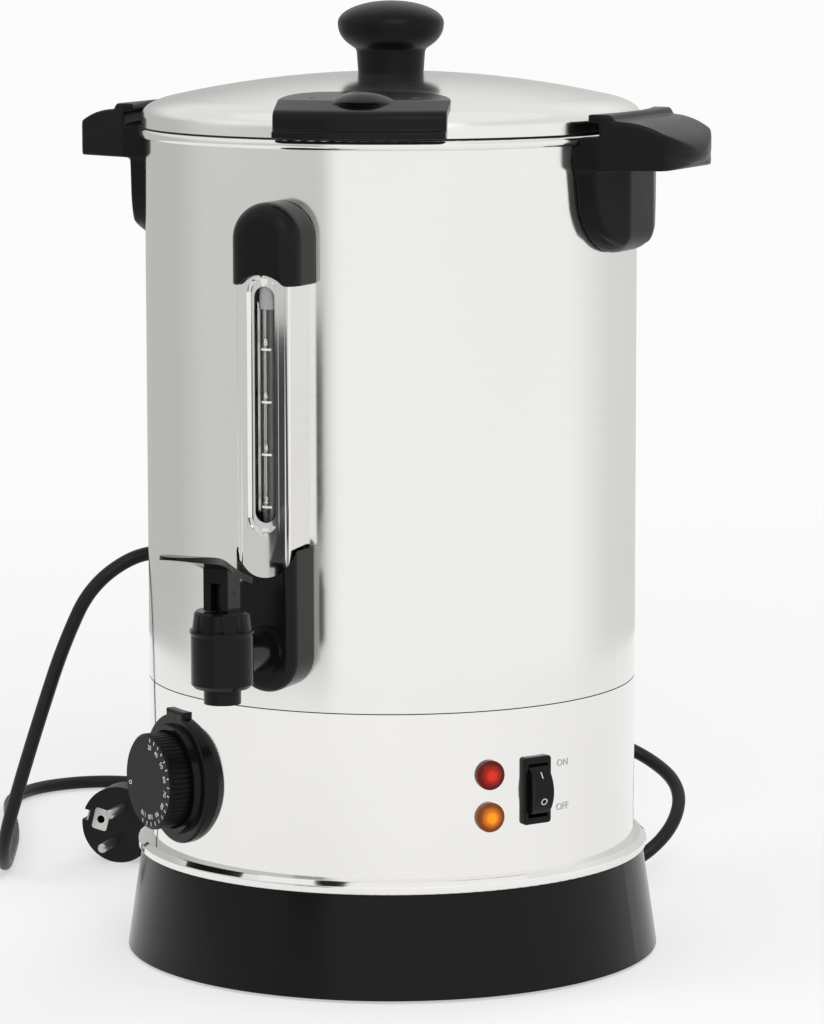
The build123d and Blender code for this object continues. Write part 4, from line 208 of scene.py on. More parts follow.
def sheet_metal_group():
    """Rolled sheet: long soft waves, fine level hairlines and faint wipe marks."""
    tree = bpy.data.node_groups.new("sheet_metal", "ShaderNodeTree")
    add_socket(tree, "Vector", "INPUT", "NodeSocketVector")
    add_socket(tree, "Wave Scale", "INPUT", "NodeSocketFloat", 9.0)
    add_socket(tree, "Hairline Scale", "INPUT", "NodeSocketFloat", 30.0)
    add_socket(tree, "Hairline Height", "INPUT", "NodeSocketFloat", 0.02)
    add_socket(tree, "Polish", "INPUT", "NodeSocketFloat", 0.12)
    add_socket(tree, "Wipe", "INPUT", "NodeSocketFloat", 0.05)
    add_socket(tree, "Tone", "OUTPUT", "NodeSocketFloat")
    add_socket(tree, "Roughness", "OUTPUT", "NodeSocketFloat")
    add_socket(tree, "Height", "OUTPUT", "NodeSocketFloat")
    w = Wiring(tree)
    given = w.node("NodeGroupInput")
    out = w.node("NodeGroupOutput")
    vector = given.outputs["Vector"]
    drawn_waves = w.stretch(vector, WAVE_STRETCH)
    drawn_hair = w.stretch(vector, HAIR_STRETCH)
    drawn_wipes = w.stretch(vector, WIPE_STRETCH)
    waves = w.noise(drawn_waves, given.outputs["Wave Scale"], detail=1.5)
    hair = w.noise(drawn_hair, given.outputs["Hairline Scale"], detail=3.0, roughness=0.6)
    wiped = w.noise(drawn_wipes, WIPE_SCALE, detail=4.0, roughness=0.6)
    hairs = w.math("MULTIPLY", hair, given.outputs["Hairline Height"])
    w.join(w.math("ADD", waves, hairs), out.inputs["Height"])
    streak = w.math("MULTIPLY", w.spread(wiped, 0.35, 0.7), given.outputs["Wipe"])
    fine = w.math("MULTIPLY", hair, HAIR_ROUGHENS)
    rough = w.math("ADD", w.math("ADD", given.outputs["Polish"], streak), fine)
    w.join(rough, out.inputs["Roughness"])
    w.join(w.spread(w.math("MULTIPLY_ADD", hair, 0.5, waves), 0.45, 1.05), out.inputs["Tone"])
    return tree


def moulded_group():
    """Moulded plastic: fine pitting, slowly varying gloss and a little dust."""
    tree = bpy.data.node_groups.new("moulded_plastic", "ShaderNodeTree")
    add_socket(tree, "Vector", "INPUT", "NodeSocketVector")
    add_socket(tree, "Pit Scale", "INPUT", "NodeSocketFloat", 900.0)
    add_socket(tree, "Sheen Scale", "INPUT", "NodeSocketFloat", 30.0)
    add_socket(tree, "Gloss", "INPUT", "NodeSocketFloat", 0.2)
    add_socket(tree, "Gloss Spread", "INPUT", "NodeSocketFloat", 0.1)
    add_socket(tree, "Roughness", "OUTPUT", "NodeSocketFloat")
    add_socket(tree, "Height", "OUTPUT", "NodeSocketFloat")
    add_socket(tree, "Dust", "OUTPUT", "NodeSocketFloat")
    w = Wiring(tree)
    given = w.node("NodeGroupInput")
    out = w.node("NodeGroupOutput")
    vector = given.outputs["Vector"]
    pits = w.noise(vector, given.outputs["Pit Scale"])
    sheen = w.noise(vector, given.outputs["Sheen Scale"], detail=4.0, roughness=0.6)
    w.join(pits, out.inputs["Height"])
    spread = w.math("MULTIPLY", w.spread(sheen, 0.3, 0.7), given.outputs["Gloss Spread"])
    w.join(w.math("ADD", given.outputs["Gloss"], spread), out.inputs["Roughness"])
    facing = w.split(w.node("ShaderNodeNewGeometry").outputs["Normal"])
    flat = w.spread(facing["Z"], 0.5, 1.0)
    w.join(w.math("MULTIPLY", flat, w.spread(sheen, 0.45, 0.75)), out.inputs["Dust"])
    return tree


SHEET_METAL = sheet_metal_group()
MOULDED = moulded_group()


# ---- Materials ----

def new_material(name):
    """An empty node material: its wiring, its shader and its Object coordinates."""
    made = bpy.data.materials.new(name)
    w = bare_tree(made)
    shader = w.node("ShaderNodeBsdfPrincipled")
    out = w.node("ShaderNodeOutputMaterial")
    w.join(shader.outputs[0], out.inputs[0])
    place = w.node("ShaderNodeTexCoord").outputs["Object"]
    return made, w, shader, place


def put_group(w, group, place, **values):
    """Places a group in a material with its own values."""
    made = w.node("ShaderNodeGroup", node_tree=group)
    w.join(place, made.inputs["Vector"])
    for key, value in values.items():
        made.inputs[key.replace("_", " ")].default_value = value
    return made


def add_bump(w, shader, height, distance):
    bump = w.node("ShaderNodeBump")
    bump.inputs["Distance"].default_value = distance
    w.join(height, bump.inputs["Height"])
    w.join(bump.outputs[0], shader.inputs["Normal"])


def metal(name, light, dark, polish, wipe, wave_scale, wave_depth, hairline):
    """Sheet or turned metal."""
    made, w, shader, place = new_material(name)
    sheet = put_group(
        w, SHEET_METAL, place,
        Wave_Scale=wave_scale, Hairline_Height=hairline, Polish=polish, Wipe=wipe,
    )
    shader.inputs["Metallic"].default_value = 1.0
    w.join(w.blend(sheet.outputs["Tone"], dark + (1,), light + (1,)), shader.inputs["Base Color"])
    w.join(sheet.outputs["Roughness"], shader.inputs["Roughness"])
    add_bump(w, shader, sheet.outputs["Height"], wave_depth)
    return made


def plastic(name, colour, dust_colour, gloss, spread, pit_scale, pit_depth, shine=0.5):
    """Moulded plastic or rubber."""
    made, w, shader, place = new_material(name)
    skin = put_group(
        w, MOULDED, place,
        Gloss=gloss, Gloss_Spread=spread, Pit_Scale=pit_scale,
    )
    dust = w.math("MULTIPLY", skin.outputs["Dust"], DUST_SHARE)
    w.join(w.blend(dust, colour + (1,), dust_colour + (1,)), shader.inputs["Base Color"])
    w.join(skin.outputs["Roughness"], shader.inputs["Roughness"])
    shader.inputs["Specular IOR Level"].default_value = shine
    add_bump(w, shader, skin.outputs["Height"], pit_depth)
    return made


# Pairs of lens radii: where painted bulb light fades, painted shade darkens the rim, and it dulls
BULB_FADES = (0.0018, 0.0036)
RIM_SHADE_RADII = (0.0040, 0.0054)
RIM_SHADE_TONE = 0.35
LENS_DULLS = (0.0030, 0.0054)
LENS_GLOSS = (0.08, 0.16)
LENS_SHINE = 0.2
BLACK = (0, 0, 0, 1)


def lens(name, deep, bright, glow, height):
    """Clear coloured pilot lamp lens: bulb light painted in its middle, painted shade at its rim.
    """
    made, w, shader, place = new_material(name)
    turn = w.node("ShaderNodeMapping", vector_type="TEXTURE")
    turn.inputs["Location"].default_value = (*spot_on(SHELL_R, math.radians(LAMP_ANGLE)), height)
    turn.inputs["Rotation"].default_value = (0, 0, math.radians(LAMP_ANGLE))
    w.join(place, turn.inputs["Vector"])
    parts = w.split(turn.outputs[0])
    across = w.math("POWER", parts["X"], 2.0)
    upward = w.math("POWER", parts["Z"], 2.0)
    radius = w.math("SQRT", w.math("ADD", across, upward))
    # Painted light: the bulb's light is painted into the middle of the lens colour; the glow there
    # is the lamp's own
    bulb = w.spread(radius, *BULB_FADES, 1.0, 0.0)
    # Painted shade: the lens colour darkens towards black at the rim
    rim = w.spread(radius, *RIM_SHADE_RADII, 1.0, RIM_SHADE_TONE)
    shaded = w.blend(rim, BLACK, deep + (1,))
    w.join(w.blend(bulb, shaded, bright + (1,)), shader.inputs["Base Color"])
    w.join(w.blend(bulb, BLACK, glow + (1,)), shader.inputs["Emission Color"])
    shader.inputs["Emission Strength"].default_value = 1.0
    w.join(w.spread(radius, *LENS_DULLS, *LENS_GLOSS), shader.inputs["Roughness"])
    shader.inputs["Specular IOR Level"].default_value = LENS_SHINE
    return made


def clear_glass(name, tint):
    """Clear tube with a thin uneven film on it."""
    made, w, shader, place = new_material(name)
    shader.inputs["Transmission Weight"].default_value = 1.0
    shader.inputs["IOR"].default_value = 1.47
    shader.inputs["Base Color"].default_value = tint + (1,)
    film = w.noise(w.stretch(place, (1.0, 1.0, 0.2)), 220.0, detail=3.0)
    w.join(w.spread(film, 0.3, 0.8, 0.015, 0.06), shader.inputs["Roughness"])
    return made


def paint(name, colour, gloss=0.5):
    """Printed marks, a little uneven in the ink."""
    made, w, shader, place = new_material(name)
    ink = w.spread(w.noise(place, 1500.0), 0.3, 0.6)
    worn = tuple(0.75 * channel for channel in colour)
    w.join(w.blend(ink, worn + (1,), colour + (1,)), shader.inputs["Base Color"])
    shader.inputs["Roughness"].default_value = gloss
    return made


WARM_DUST = (0.07, 0.067, 0.064)

FINISHES = {
    "polished_steel": metal(
        "polished_steel", light=(0.86, 0.85, 0.83), dark=(0.81, 0.805, 0.785), polish=0.085,
        wipe=0.04, wave_scale=9.0, wave_depth=0.00007, hairline=0.03),
    "pot_steel": metal(
        "pot_steel", light=(0.70, 0.70, 0.69), dark=(0.58, 0.58, 0.57), polish=0.28,
        wipe=0.08, wave_scale=14.0, wave_depth=0.00010, hairline=0.2),
    "zinc_steel": metal(
        "zinc_steel", light=(0.66, 0.66, 0.64), dark=(0.50, 0.50, 0.49), polish=0.30,
        wipe=0.12, wave_scale=60.0, wave_depth=0.00005, hairline=0.3),
    "cast_plate": metal(
        "cast_plate", light=(0.66, 0.66, 0.65), dark=(0.50, 0.50, 0.50), polish=0.42,
        wipe=0.10, wave_scale=120.0, wave_depth=0.00008, hairline=0.4),
    "brass": metal(
        "turned_brass", light=(0.80, 0.60, 0.27), dark=(0.62, 0.43, 0.17), polish=0.20,
        wipe=0.10, wave_scale=60.0, wave_depth=0.00005, hairline=0.3),
    "black_gloss": plastic(
        "black_gloss", colour=(0.004, 0.004, 0.0044), dust_colour=WARM_DUST,
        gloss=0.13, spread=0.08, pit_scale=420.0, pit_depth=0.00001, shine=0.16),
    "black_satin": plastic(
        "black_satin", colour=(0.003, 0.003, 0.0034), dust_colour=WARM_DUST,
        gloss=0.26, spread=0.12, pit_scale=1100.0, pit_depth=0.00003, shine=0.13),
    "white_nylon": plastic(
        "white_nylon", colour=(0.74, 0.73, 0.69), dust_colour=(0.6, 0.6, 0.56),
        gloss=0.40, spread=0.10, pit_scale=700.0, pit_depth=0.00002),
    "silicone": plastic(
        "silicone", colour=(0.68, 0.67, 0.64), dust_colour=(0.5, 0.5, 0.48),
        gloss=0.50, spread=0.10, pit_scale=500.0, pit_depth=0.00003),
    "black_rubber": plastic(
        "black_rubber", colour=(0.008, 0.008, 0.009), dust_colour=WARM_DUST,
        gloss=0.60, spread=0.12, pit_scale=800.0, pit_depth=0.00006, shine=0.2),
    "cord_pvc": plastic(
        "cord_pvc", colour=(0.007, 0.007, 0.0075), dust_colour=WARM_DUST,
        gloss=0.30, spread=0.14, pit_scale=700.0, pit_depth=0.00002, shine=0.2),
    "clear_tube": clear_glass("clear_tube", (0.93, 0.95, 0.94)),
    "red_lens": lens(
        "red_lens", deep=(0.30, 0.006, 0.004), bright=(0.52, 0.020, 0.008),
        glow=(0.14, 0.004, 0.001), height=LAMP_HEATING_Z),
    "amber_lens": lens(
        "amber_lens", deep=(0.55, 0.13, 0.006), bright=(0.85, 0.26, 0.008),
        glow=(0.20, 0.06, 0.001), height=LAMP_WARM_Z),
}
LID_STEEL = metal(
    "spun_lid_steel", light=(0.84, 0.83, 0.81), dark=(0.79, 0.785, 0.77), polish=0.11,
    wipe=0.05, wave_scale=12.0, wave_depth=0.00007, hairline=0.05)
HOUSING_STEEL = metal(
    "bright_housing_steel", light=(0.88, 0.87, 0.85), dark=(0.84, 0.83, 0.81), polish=0.045,
    wipe=0.03, wave_scale=9.0, wave_depth=0.00005, hairline=0.02)
GUARD_STEEL = metal(
    "guard_steel", light=(0.86, 0.855, 0.84), dark=(0.80, 0.79, 0.78), polish=0.05,
    wipe=0.03, wave_scale=20.0, wave_depth=0.00004, hairline=0.02)
CONTACT_METAL = metal(
    "plated_contact", light=(0.74, 0.73, 0.70), dark=(0.60, 0.59, 0.56), polish=0.18,
    wipe=0.08, wave_scale=60.0, wave_depth=0.00003, hairline=0.2)
FROSTED = plastic(
    "frosted_sleeve", colour=(0.26, 0.27, 0.28), dust_colour=(0.3, 0.3, 0.3),
    gloss=0.35, spread=0.1, pit_scale=500.0, pit_depth=0.00002)
WHITE_PRINT = paint("white_print", (0.72, 0.72, 0.71))
GREY_PRINT = paint("grey_print", (0.42, 0.41, 0.40))
# Dark paint, for the strip behind the sight tube and the bezel's mark
DARK_PAINT = paint("dark_paint", (0.010, 0.010, 0.011), gloss=0.6)

PART_SLOTS = {part["node"]: part["material_slot"] for part in frame["record"]["subparts"]}
NODE_FINISHES = {
    "lid_shell": LID_STEEL,
    "lower_housing": HOUSING_STEEL,
    "trim_ring": HOUSING_STEEL,
    "gauge_guard": GUARD_STEEL,
    "plug_earth": CONTACT_METAL,
    "lid_seal": FINISHES["black_rubber"],
    "tap_stem": FINISHES["black_satin"],
    "lever_pin": FINISHES["black_satin"],
}


def finish_of(node):
    """The finish of a node: its own where it has one, or else its slot's."""
    return NODE_FINISHES.get(node, FINISHES[PART_SLOTS[node]])


def dress(piece, material):
    piece.data.materials.clear()
    piece.data.materials.append(material)


for part_name in PART_SLOTS:
    dress(frame["nodes"][part_name], finish_of(part_name))


# ---- Making and placing pieces ----

def outward_plane(angle, radius, height):
    """Matrix whose local z faces away from the urn's axis and whose local y is up."""
    turn = math.radians(angle)
    across = Vector((math.cos(turn), math.sin(turn), 0))
    away = Vector((*spot_on(1.0, turn), 0))
    placed = Matrix((across, Vector((0, 0, 1)), away)).transposed().to_4x4()
    placed.translation = away * radius + Vector((0, 0, height))
    return placed


def put_in_scene(name, data):
    """A new object of the scene that holds a mesh, curve, lamp or camera."""
    made = bpy.data.objects.new(name, data)
    scene.collection.objects.link(made)
    return made


def add_piece(name, mesh, material, body):
    piece = put_in_scene(name, mesh)
    dress(piece, material)
    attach(piece, body)
    return piece


def add_stand_in(node, name, mesh, body):
    """A piece that takes a node's place, with the node's finish."""
    piece = add_piece(name, mesh, finish_of(node), body)
    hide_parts(node)
    return piece


def flat_mesh(source):
    """Plain mesh of an evaluated object, which is then removed."""
    bpy.context.view_layer.update()
    evaluated = source.evaluated_get(bpy.context.evaluated_depsgraph_get())
    mesh = bpy.data.meshes.new_from_object(evaluated)
    bpy.data.objects.remove(source)
    return mesh


def closed_mesh(work, name):
    """The mesh of a bmesh, which is then freed."""
    mesh = bpy.data.meshes.new(name)
    work.to_mesh(mesh)
    work.free()
    return mesh


def shade_smooth(mesh):
    mesh.polygons.foreach_set("use_smooth", [True] * len(mesh.polygons))


GLYPH_SIZE_PER_HEIGHT = 1.4


def glyph_mesh(text, height, thickness):
    """One short text as a thin solid, centred on the origin."""
    curve = bpy.data.curves.new("glyph", "FONT")
    curve.body = text
    curve.size = height * GLYPH_SIZE_PER_HEIGHT
    curve.align_x = "CENTER"
    curve.align_y = "CENTER"
    curve.extrude = thickness / 2
    curve.resolution_u = 3
    return flat_mesh(put_in_scene("glyph", curve))


def joined(name, meshes):
    """One mesh from several, with doubles merged and its faces turned outwards."""
    work = bmesh.new()
    for mesh in meshes:
        work.from_mesh(mesh)
        bpy.data.meshes.remove(mesh)
    bmesh.ops.remove_doubles(work, verts=work.verts, dist=1e-7)
    bmesh.ops.recalc_face_normals(work, faces=work.faces)
    return closed_mesh(work, name)


def wrapped(mesh, angle, radius, height):
    """Bends a flat mesh round an upright axis."""
    for vertex in mesh.vertices:
        turn = math.radians(angle) + vertex.co.x / radius
        vertex.co = (*spot_on(radius + vertex.co.z, turn), height + vertex.co.y)
    return mesh


# ---- Geometry node trees ----

def geometry_tree(name, inputs):
    """An empty geometry tree with named number inputs and the wiring to fill it."""
    tree = bpy.data.node_groups.new(name, "GeometryNodeTree")
    add_socket(tree, "Geometry", "INPUT", "NodeSocketGeometry")
    for label, kind, default in inputs:
        add_socket(tree, label, "INPUT", kind, default)
    add_socket(tree, "Geometry", "OUTPUT", "NodeSocketGeometry")
    w = Wiring(tree)
    return tree, w, w.node("NodeGroupInput"), w.node("NodeGroupOutput")


def put_on_points(w, given, out, points, bar, rotation=None):
    """Ends a tree: one bar on each point, made real and given its material."""
    repeated = w.node("GeometryNodeInstanceOnPoints")
    w.join(points, repeated.inputs["Points"])
    w.join(bar, repeated.inputs["Instance"])
    if rotation is not None:
        w.join(rotation, repeated.inputs["Rotation"])
    real = w.node("GeometryNodeRealizeInstances")
    w.join(repeated.outputs[0], real.inputs[0])
    painted = w.node("GeometryNodeSetMaterial")
    w.join(real.outputs[0], painted.inputs["Geometry"])
    w.join(given.outputs["Material"], painted.inputs["Material"])
    w.join(painted.outputs[0], out.inputs[0])


def tick_ring_tree():
    """Bars set radially along an arc."""
    tree, w, given, out = geometry_tree("tick_ring", (
        ("Count", "NodeSocketInt", 10),
        ("Radius", "NodeSocketFloat", 0.02),
        ("Start", "NodeSocketFloat", 0.0),
        ("Sweep", "NodeSocketFloat", 3.0),
        ("Bar Length", "NodeSocketFloat", 0.002),
        ("Bar Width", "NodeSocketFloat", 0.0003),
        ("Bar Height", "NodeSocketFloat", 0.00008),
        ("Material", "NodeSocketMaterial", None),
    ))
    sizes = given.outputs
    line = w.node("GeometryNodeMeshLine")
    w.join(sizes["Count"], line.inputs["Count"])
    index = w.node("GeometryNodeInputIndex").outputs[0]
    share = w.math("DIVIDE", index, w.math("SUBTRACT", sizes["Count"], 1.0))
    angle = w.math("MULTIPLY_ADD", share, sizes["Sweep"], sizes["Start"])
    across = w.math("MULTIPLY", w.math("COSINE", angle), sizes["Radius"])
    upward = w.math("MULTIPLY", w.math("SINE", angle), sizes["Radius"])
    moved = w.node("GeometryNodeSetPosition")
    w.join(line.outputs[0], moved.inputs["Geometry"])
    w.join(w.combine(across, upward), moved.inputs["Position"])
    bar = w.node("GeometryNodeMeshCube")
    size = w.combine(sizes["Bar Length"], sizes["Bar Width"], sizes["Bar Height"])
    w.join(size, bar.inputs["Size"])
    rotation = w.node("FunctionNodeEulerToRotation")
    w.join(w.combine(z=angle), rotation.inputs[0])
    put_on_points(w, given, out, moved.outputs[0], bar.outputs[0], rotation.outputs[0])
    return tree


BAR_POINTS_ACROSS = 9


def level_mark_tree():
    """Short bars bent round an upright tube, one above the other."""
    tree, w, given, out = geometry_tree("level_marks", (
        ("Count", "NodeSocketInt", 4),
        ("Pitch", "NodeSocketFloat", 0.02),
        ("Tube Radius", "NodeSocketFloat", 0.005),
        ("Mark Width", "NodeSocketFloat", 0.005),
        ("Mark Height", "NodeSocketFloat", 0.001),
        ("Mark Thickness", "NodeSocketFloat", 0.0001),
        ("Material", "NodeSocketMaterial", None),
    ))
    sizes = given.outputs
    bar = w.node("GeometryNodeMeshCube")
    bar.inputs["Vertices X"].default_value = BAR_POINTS_ACROSS
    size = w.combine(sizes["Mark Width"], sizes["Mark Thickness"], sizes["Mark Height"])
    w.join(size, bar.inputs["Size"])
    spot = w.split(w.node("GeometryNodeInputPosition").outputs[0])
    angle = w.math("DIVIDE", spot["X"], sizes["Tube Radius"])
    reach = w.math("SUBTRACT", sizes["Tube Radius"], spot["Y"])
    across = w.math("MULTIPLY", w.math("SINE", angle), reach)
    forward = w.math("MULTIPLY", w.math("COSINE", angle), reach)
    bent = w.combine(across, w.math("MULTIPLY", forward, -1.0), spot["Z"])
    shaped = w.node("GeometryNodeSetPosition")
    w.join(bar.outputs[0], shaped.inputs["Geometry"])
    w.join(bent, shaped.inputs["Position"])
    line = w.node("GeometryNodeMeshLine")
    w.join(sizes["Count"], line.inputs["Count"])
    w.join(w.combine(z=sizes["Pitch"]), line.inputs["Offset"])
    put_on_points(w, given, out, line.outputs[0], shaped.outputs[0])
    return tree


def grown(tree, **values):
    """Runs a geometry tree with its own values and returns the plain mesh."""
    holder = put_in_scene("grown", bpy.data.meshes.new("grown"))
    modifier = holder.modifiers.new("grown", "NODES")
    modifier.node_group = tree
    names = {s.name: s.identifier for s in tree.interface.items_tree if s.in_out == "INPUT"}
    for key, value in values.items():
        modifier[names[key.replace("_", " ")]] = value
    return flat_mesh(holder)


TICK_RING = tick_ring_tree()
LEVEL_MARKS = level_mark_tree()


# ---- Dial: printed scale on its face, and the line it is read against ----

PRINT_T = 0.00008
DIAL_TICK_R = 0.0202
DIAL_TICK_L = 0.0019
DIAL_TICK_W = 0.0005
DIAL_NUMBERS = ("30", "40", "50", "60", "70", "80", "90", "100", "110")
DIAL_NUMBER_R = 0.0166
DIAL_NUMBER_H = 0.0024
DIAL_SCALE_START = math.radians(84.0)
DIAL_SCALE_SWEEP = math.radians(-190.0)
DIAL_ZERO_R = 0.0178
DIAL_ZERO_H = 0.0032
DIAL_ZERO_TURN = math.radians(100.0)
BEZEL_MARK_W = 0.0007
BEZEL_MARK_H = 0.0040
BEZEL_MARK_UP = 0.0297


def dial_number(text, height, radius, turn):
    """A number on the dial's face, read from the dial's middle, at its turn from the top."""
    glyph = glyph_mesh(text, height, PRINT_T)
    glyph.transform(Matrix.Rotation(turn, 4, "Z") @ Matrix.Translation((0, radius, 0)))
    return glyph


def dial_scale():
    """Ticks and numbers round the dial's face, with a nought at its side."""
    pieces = [grown(
        TICK_RING,
        Count=2 * len(DIAL_NUMBERS) - 1,
        Radius=DIAL_TICK_R,
        Start=DIAL_SCALE_START,
        Sweep=DIAL_SCALE_SWEEP,
        Bar_Length=DIAL_TICK_L,
        Bar_Width=DIAL_TICK_W,
        Bar_Height=PRINT_T,
        Material=WHITE_PRINT,
    )]
    for place, number in enumerate(DIAL_NUMBERS):
        angle = DIAL_SCALE_START + DIAL_SCALE_SWEEP * place / (len(DIAL_NUMBERS) - 1)
        pieces.append(dial_number(number, DIAL_NUMBER_H, DIAL_NUMBER_R, angle - math.pi / 2))
    pieces.append(dial_number("0", DIAL_ZERO_H, DIAL_ZERO_R, DIAL_ZERO_TURN))
    mesh = joined("dial_scale", pieces)
    mesh.transform(outward_plane(DIAL_ANGLE, DIAL_FACE_R, DIAL_Z))
    return add_piece("dial_scale", mesh, WHITE_PRINT, "dial")


def bezel_mark():
    """Line on the bezel's tab that the dial is read against."""
    work = bmesh.new()
    bmesh.ops.create_cube(work, size=1.0)
    bmesh.ops.scale(work, verts=work.verts, vec=(BEZEL_MARK_W, BEZEL_MARK_H, PRINT_T))
    mesh = closed_mesh(work, "bezel_mark")
    mesh.transform(Matrix.Translation((0, BEZEL_MARK_UP, PRINT_T / 2)))
    mesh.transform(outward_plane(DIAL_ANGLE, BEZEL_FRONT_R, DIAL_Z))
    return add_piece("bezel_mark", mesh, DARK_PAINT, "urn")


dial_scale()
bezel_mark()


# ---- Sight tube: level marks and numbers, the sleeve at its top and the strip behind it ----

MARK_NUMBERS = ("2", "4", "6", "8")
MARK_LOW_Z = 0.2320
MARK_PITCH = 0.0242
MARK_W = 0.0052
MARK_H = 0.0010
MARK_NUMBER_H = 0.0030
MARK_NUMBER_UP = 0.0032
MARK_R = TUBE_R + 0.00008
SLEEVE_IN_R = TUBE_R + 0.00004
SLEEVE_OUT_R = 0.00512
SLEEVE_LOW_Z = 0.3230
SLEEVE_HIGH_Z = 0.3335
DARK_STRIP_HALF_ANGLE = math.radians(4.6)
DARK_STRIP_IN_R = SHELL_R + 0.00005
DARK_STRIP_OUT_R = SHELL_R + 0.0004
DARK_STRIP_LOW_Z = 0.2130
DARK_STRIP_HIGH_Z = 0.3440
# A black ring in the seam groove: painted shade for the groove's shadow
SEAM_SHADE_IN_R = 0.1172
SEAM_SHADE_OUT_R = 0.1177
SEAM_SHADE_LOW_Z = SEAM_Z - 0.0004
SEAM_SHADE_HIGH_Z = SEAM_Z - 0.00002
WHOLE_TURN = 2 * math.pi


def tube_marks():
    bars = grown(
        LEVEL_MARKS,
        Count=len(MARK_NUMBERS),
        Pitch=MARK_PITCH,
        Tube_Radius=MARK_R,
        Mark_Width=MARK_W,
        Mark_Height=MARK_H,
        Mark_Thickness=PRINT_T,
        Material=WHITE_PRINT,
    )
    bars.transform(Matrix.Translation((0, 0, MARK_LOW_Z)))
    pieces = [bars]
    for place, number in enumerate(MARK_NUMBERS):
        glyph = glyph_mesh(number, MARK_NUMBER_H, PRINT_T)
        level = MARK_LOW_Z + place * MARK_PITCH + MARK_NUMBER_UP
        pieces.append(wrapped(glyph, 0.0, MARK_R, level))
    mesh = joined("tube_marks", pieces)
    mesh.transform(Matrix.Translation((0, -TUBE_AXIS_R, 0)))
    return add_piece("tube_marks", mesh, WHITE_PRINT, "urn")


def turned_band(name, inner, outer, low, high, centre, start, sweep, steps):
    """Band of a square section, turned about an upright axis through centre."""
    profile = ((inner, low), (outer, low), (outer, high), (inner, high))
    work = bmesh.new()
    rings = []
    whole = sweep >= WHOLE_TURN
    for step in range(steps if whole else steps + 1):
        ring = []
        for radius, height in profile:
            x, y = spot_on(radius, start + sweep * step / steps)
            ring.append(work.verts.new((centre[0] + x, centre[1] + y, height)))
        rings.append(ring)
    pairs = list(zip(rings, rings[1:])) + ([(rings[-1], rings[0])] if whole else [])
    for ring, following in pairs:
        for k in range(len(profile)):
            n = (k + 1) % len(profile)
            work.faces.new((ring[k], ring[n], following[n], following[k]))
    if not whole:
        work.faces.new(rings[0])
        work.faces.new(reversed(rings[-1]))
    bmesh.ops.recalc_face_normals(work, faces=work.faces)
    return closed_mesh(work, name)


def tube_sleeve():
    """Frosted sleeve round the top of the sight tube."""
    mesh = turned_band(
        "tube_sleeve", SLEEVE_IN_R, SLEEVE_OUT_R, SLEEVE_LOW_Z, SLEEVE_HIGH_Z,
        centre=(0, -TUBE_AXIS_R), start=0.0, sweep=WHOLE_TURN, steps=48)
    return add_piece("tube_sleeve", mesh, FROSTED, "urn")


def tube_dark_strip():
    """Dark strip on the shell behind the sight tube."""
    mesh = turned_band(
        "tube_dark_strip", DARK_STRIP_IN_R, DARK_STRIP_OUT_R, DARK_STRIP_LOW_Z, DARK_STRIP_HIGH_Z,
        centre=(0, 0), start=-DARK_STRIP_HALF_ANGLE, sweep=2 * DARK_STRIP_HALF_ANGLE, steps=12)
    return add_piece("tube_dark_strip", mesh, DARK_PAINT, "urn")


def seam_shade_ring():
    """Thin black ring in the groove between housing and shell: painted shade of the groove."""
    mesh = turned_band(
        "seam_shade_ring", SEAM_SHADE_IN_R, SEAM_SHADE_OUT_R, SEAM_SHADE_LOW_Z, SEAM_SHADE_HIGH_Z,
        centre=(0, 0), start=0.0, sweep=WHOLE_TURN, steps=180)
    return add_piece("seam_shade_ring", mesh, FINISHES["black_rubber"], "urn")


tube_marks()
tube_sleeve()
tube_dark_strip()
seam_shade_ring()


# ---- Switch words on the housing, and the marks on the rocker ----

WORD_H = 0.0034
WORD_ANGLE = 68.0
WORD_ON_Z = 0.1058
WORD_OFF_Z = 0.0848
ROCKER_MARK_H = 0.0034
ROCKER_MARK_TURN = 24.0
ROCKER_MARK_STEP = 0.0006
ROCKER_MARK_SPLITS = 3


def switch_words():
    """The words beside the rocker, above and below."""
    pieces = [
        wrapped(glyph_mesh(word, WORD_H, PRINT_T), WORD_ANGLE, SHELL_R + PRINT_T, height)
        for word, height in (("ON", WORD_ON_Z), ("OFF", WORD_OFF_Z))
    ]
    return add_piece("switch_words", joined("switch_words", pieces), GREY_PRINT, "urn")


def split_long_edges(mesh, longest):
    """Adds points along a flat mark's long edges, so that it can bend."""
    work = bmesh.new()
    work.from_mesh(mesh)
    for _ in range(ROCKER_MARK_SPLITS):
        long_edges = [edge for edge in work.edges if edge.calc_length() > longest]
        bmesh.ops.subdivide_edges(work, edges=long_edges, cuts=1)
    bmesh.ops.triangulate(work, faces=work.faces)
    work.to_mesh(mesh)
    work.free()


def rocker_marks():
    """Bar near the rocker's upper end and ring near its lower end, bent over its curve."""
    tilt = math.radians(ROCKER_TILT)
    face = outward_plane(SWITCH_ANGLE, ROCKER_PIVOT_R, SWITCH_Z)
    across, upward, away = (face.col[k].xyz for k in range(3))
    out = away * math.cos(tilt) + upward * math.sin(tilt)
    along = upward * math.cos(tilt) - away * math.sin(tilt)
    centre = face.translation + out * (ROCKER_CREST_OUT - ROCKER_CURVE_R)
    pieces = []
    for mark, place in (("I", ROCKER_MARK_TURN), ("O", -ROCKER_MARK_TURN)):
        mesh = glyph_mesh(mark, ROCKER_MARK_H, PRINT_T)
        split_long_edges(mesh, ROCKER_MARK_STEP)
        for vertex in mesh.vertices:
            side, up, lift = vertex.co
            angle = math.radians(place) + up / ROCKER_CURVE_R
            reach = ROCKER_CURVE_R + PRINT_T / 2 + lift
            bent = out * (reach * math.cos(angle)) + along * (reach * math.sin(angle))
            vertex.co = centre + across * side + bent
        pieces.append(mesh)
    return add_piece("rocker_marks", joined("rocker_marks", pieces), WHITE_PRINT, "rocker")


switch_words()
rocker_marks()


# ---- Mouldings with rounded edges, the return spring, and the crowned guard of the gauge ----

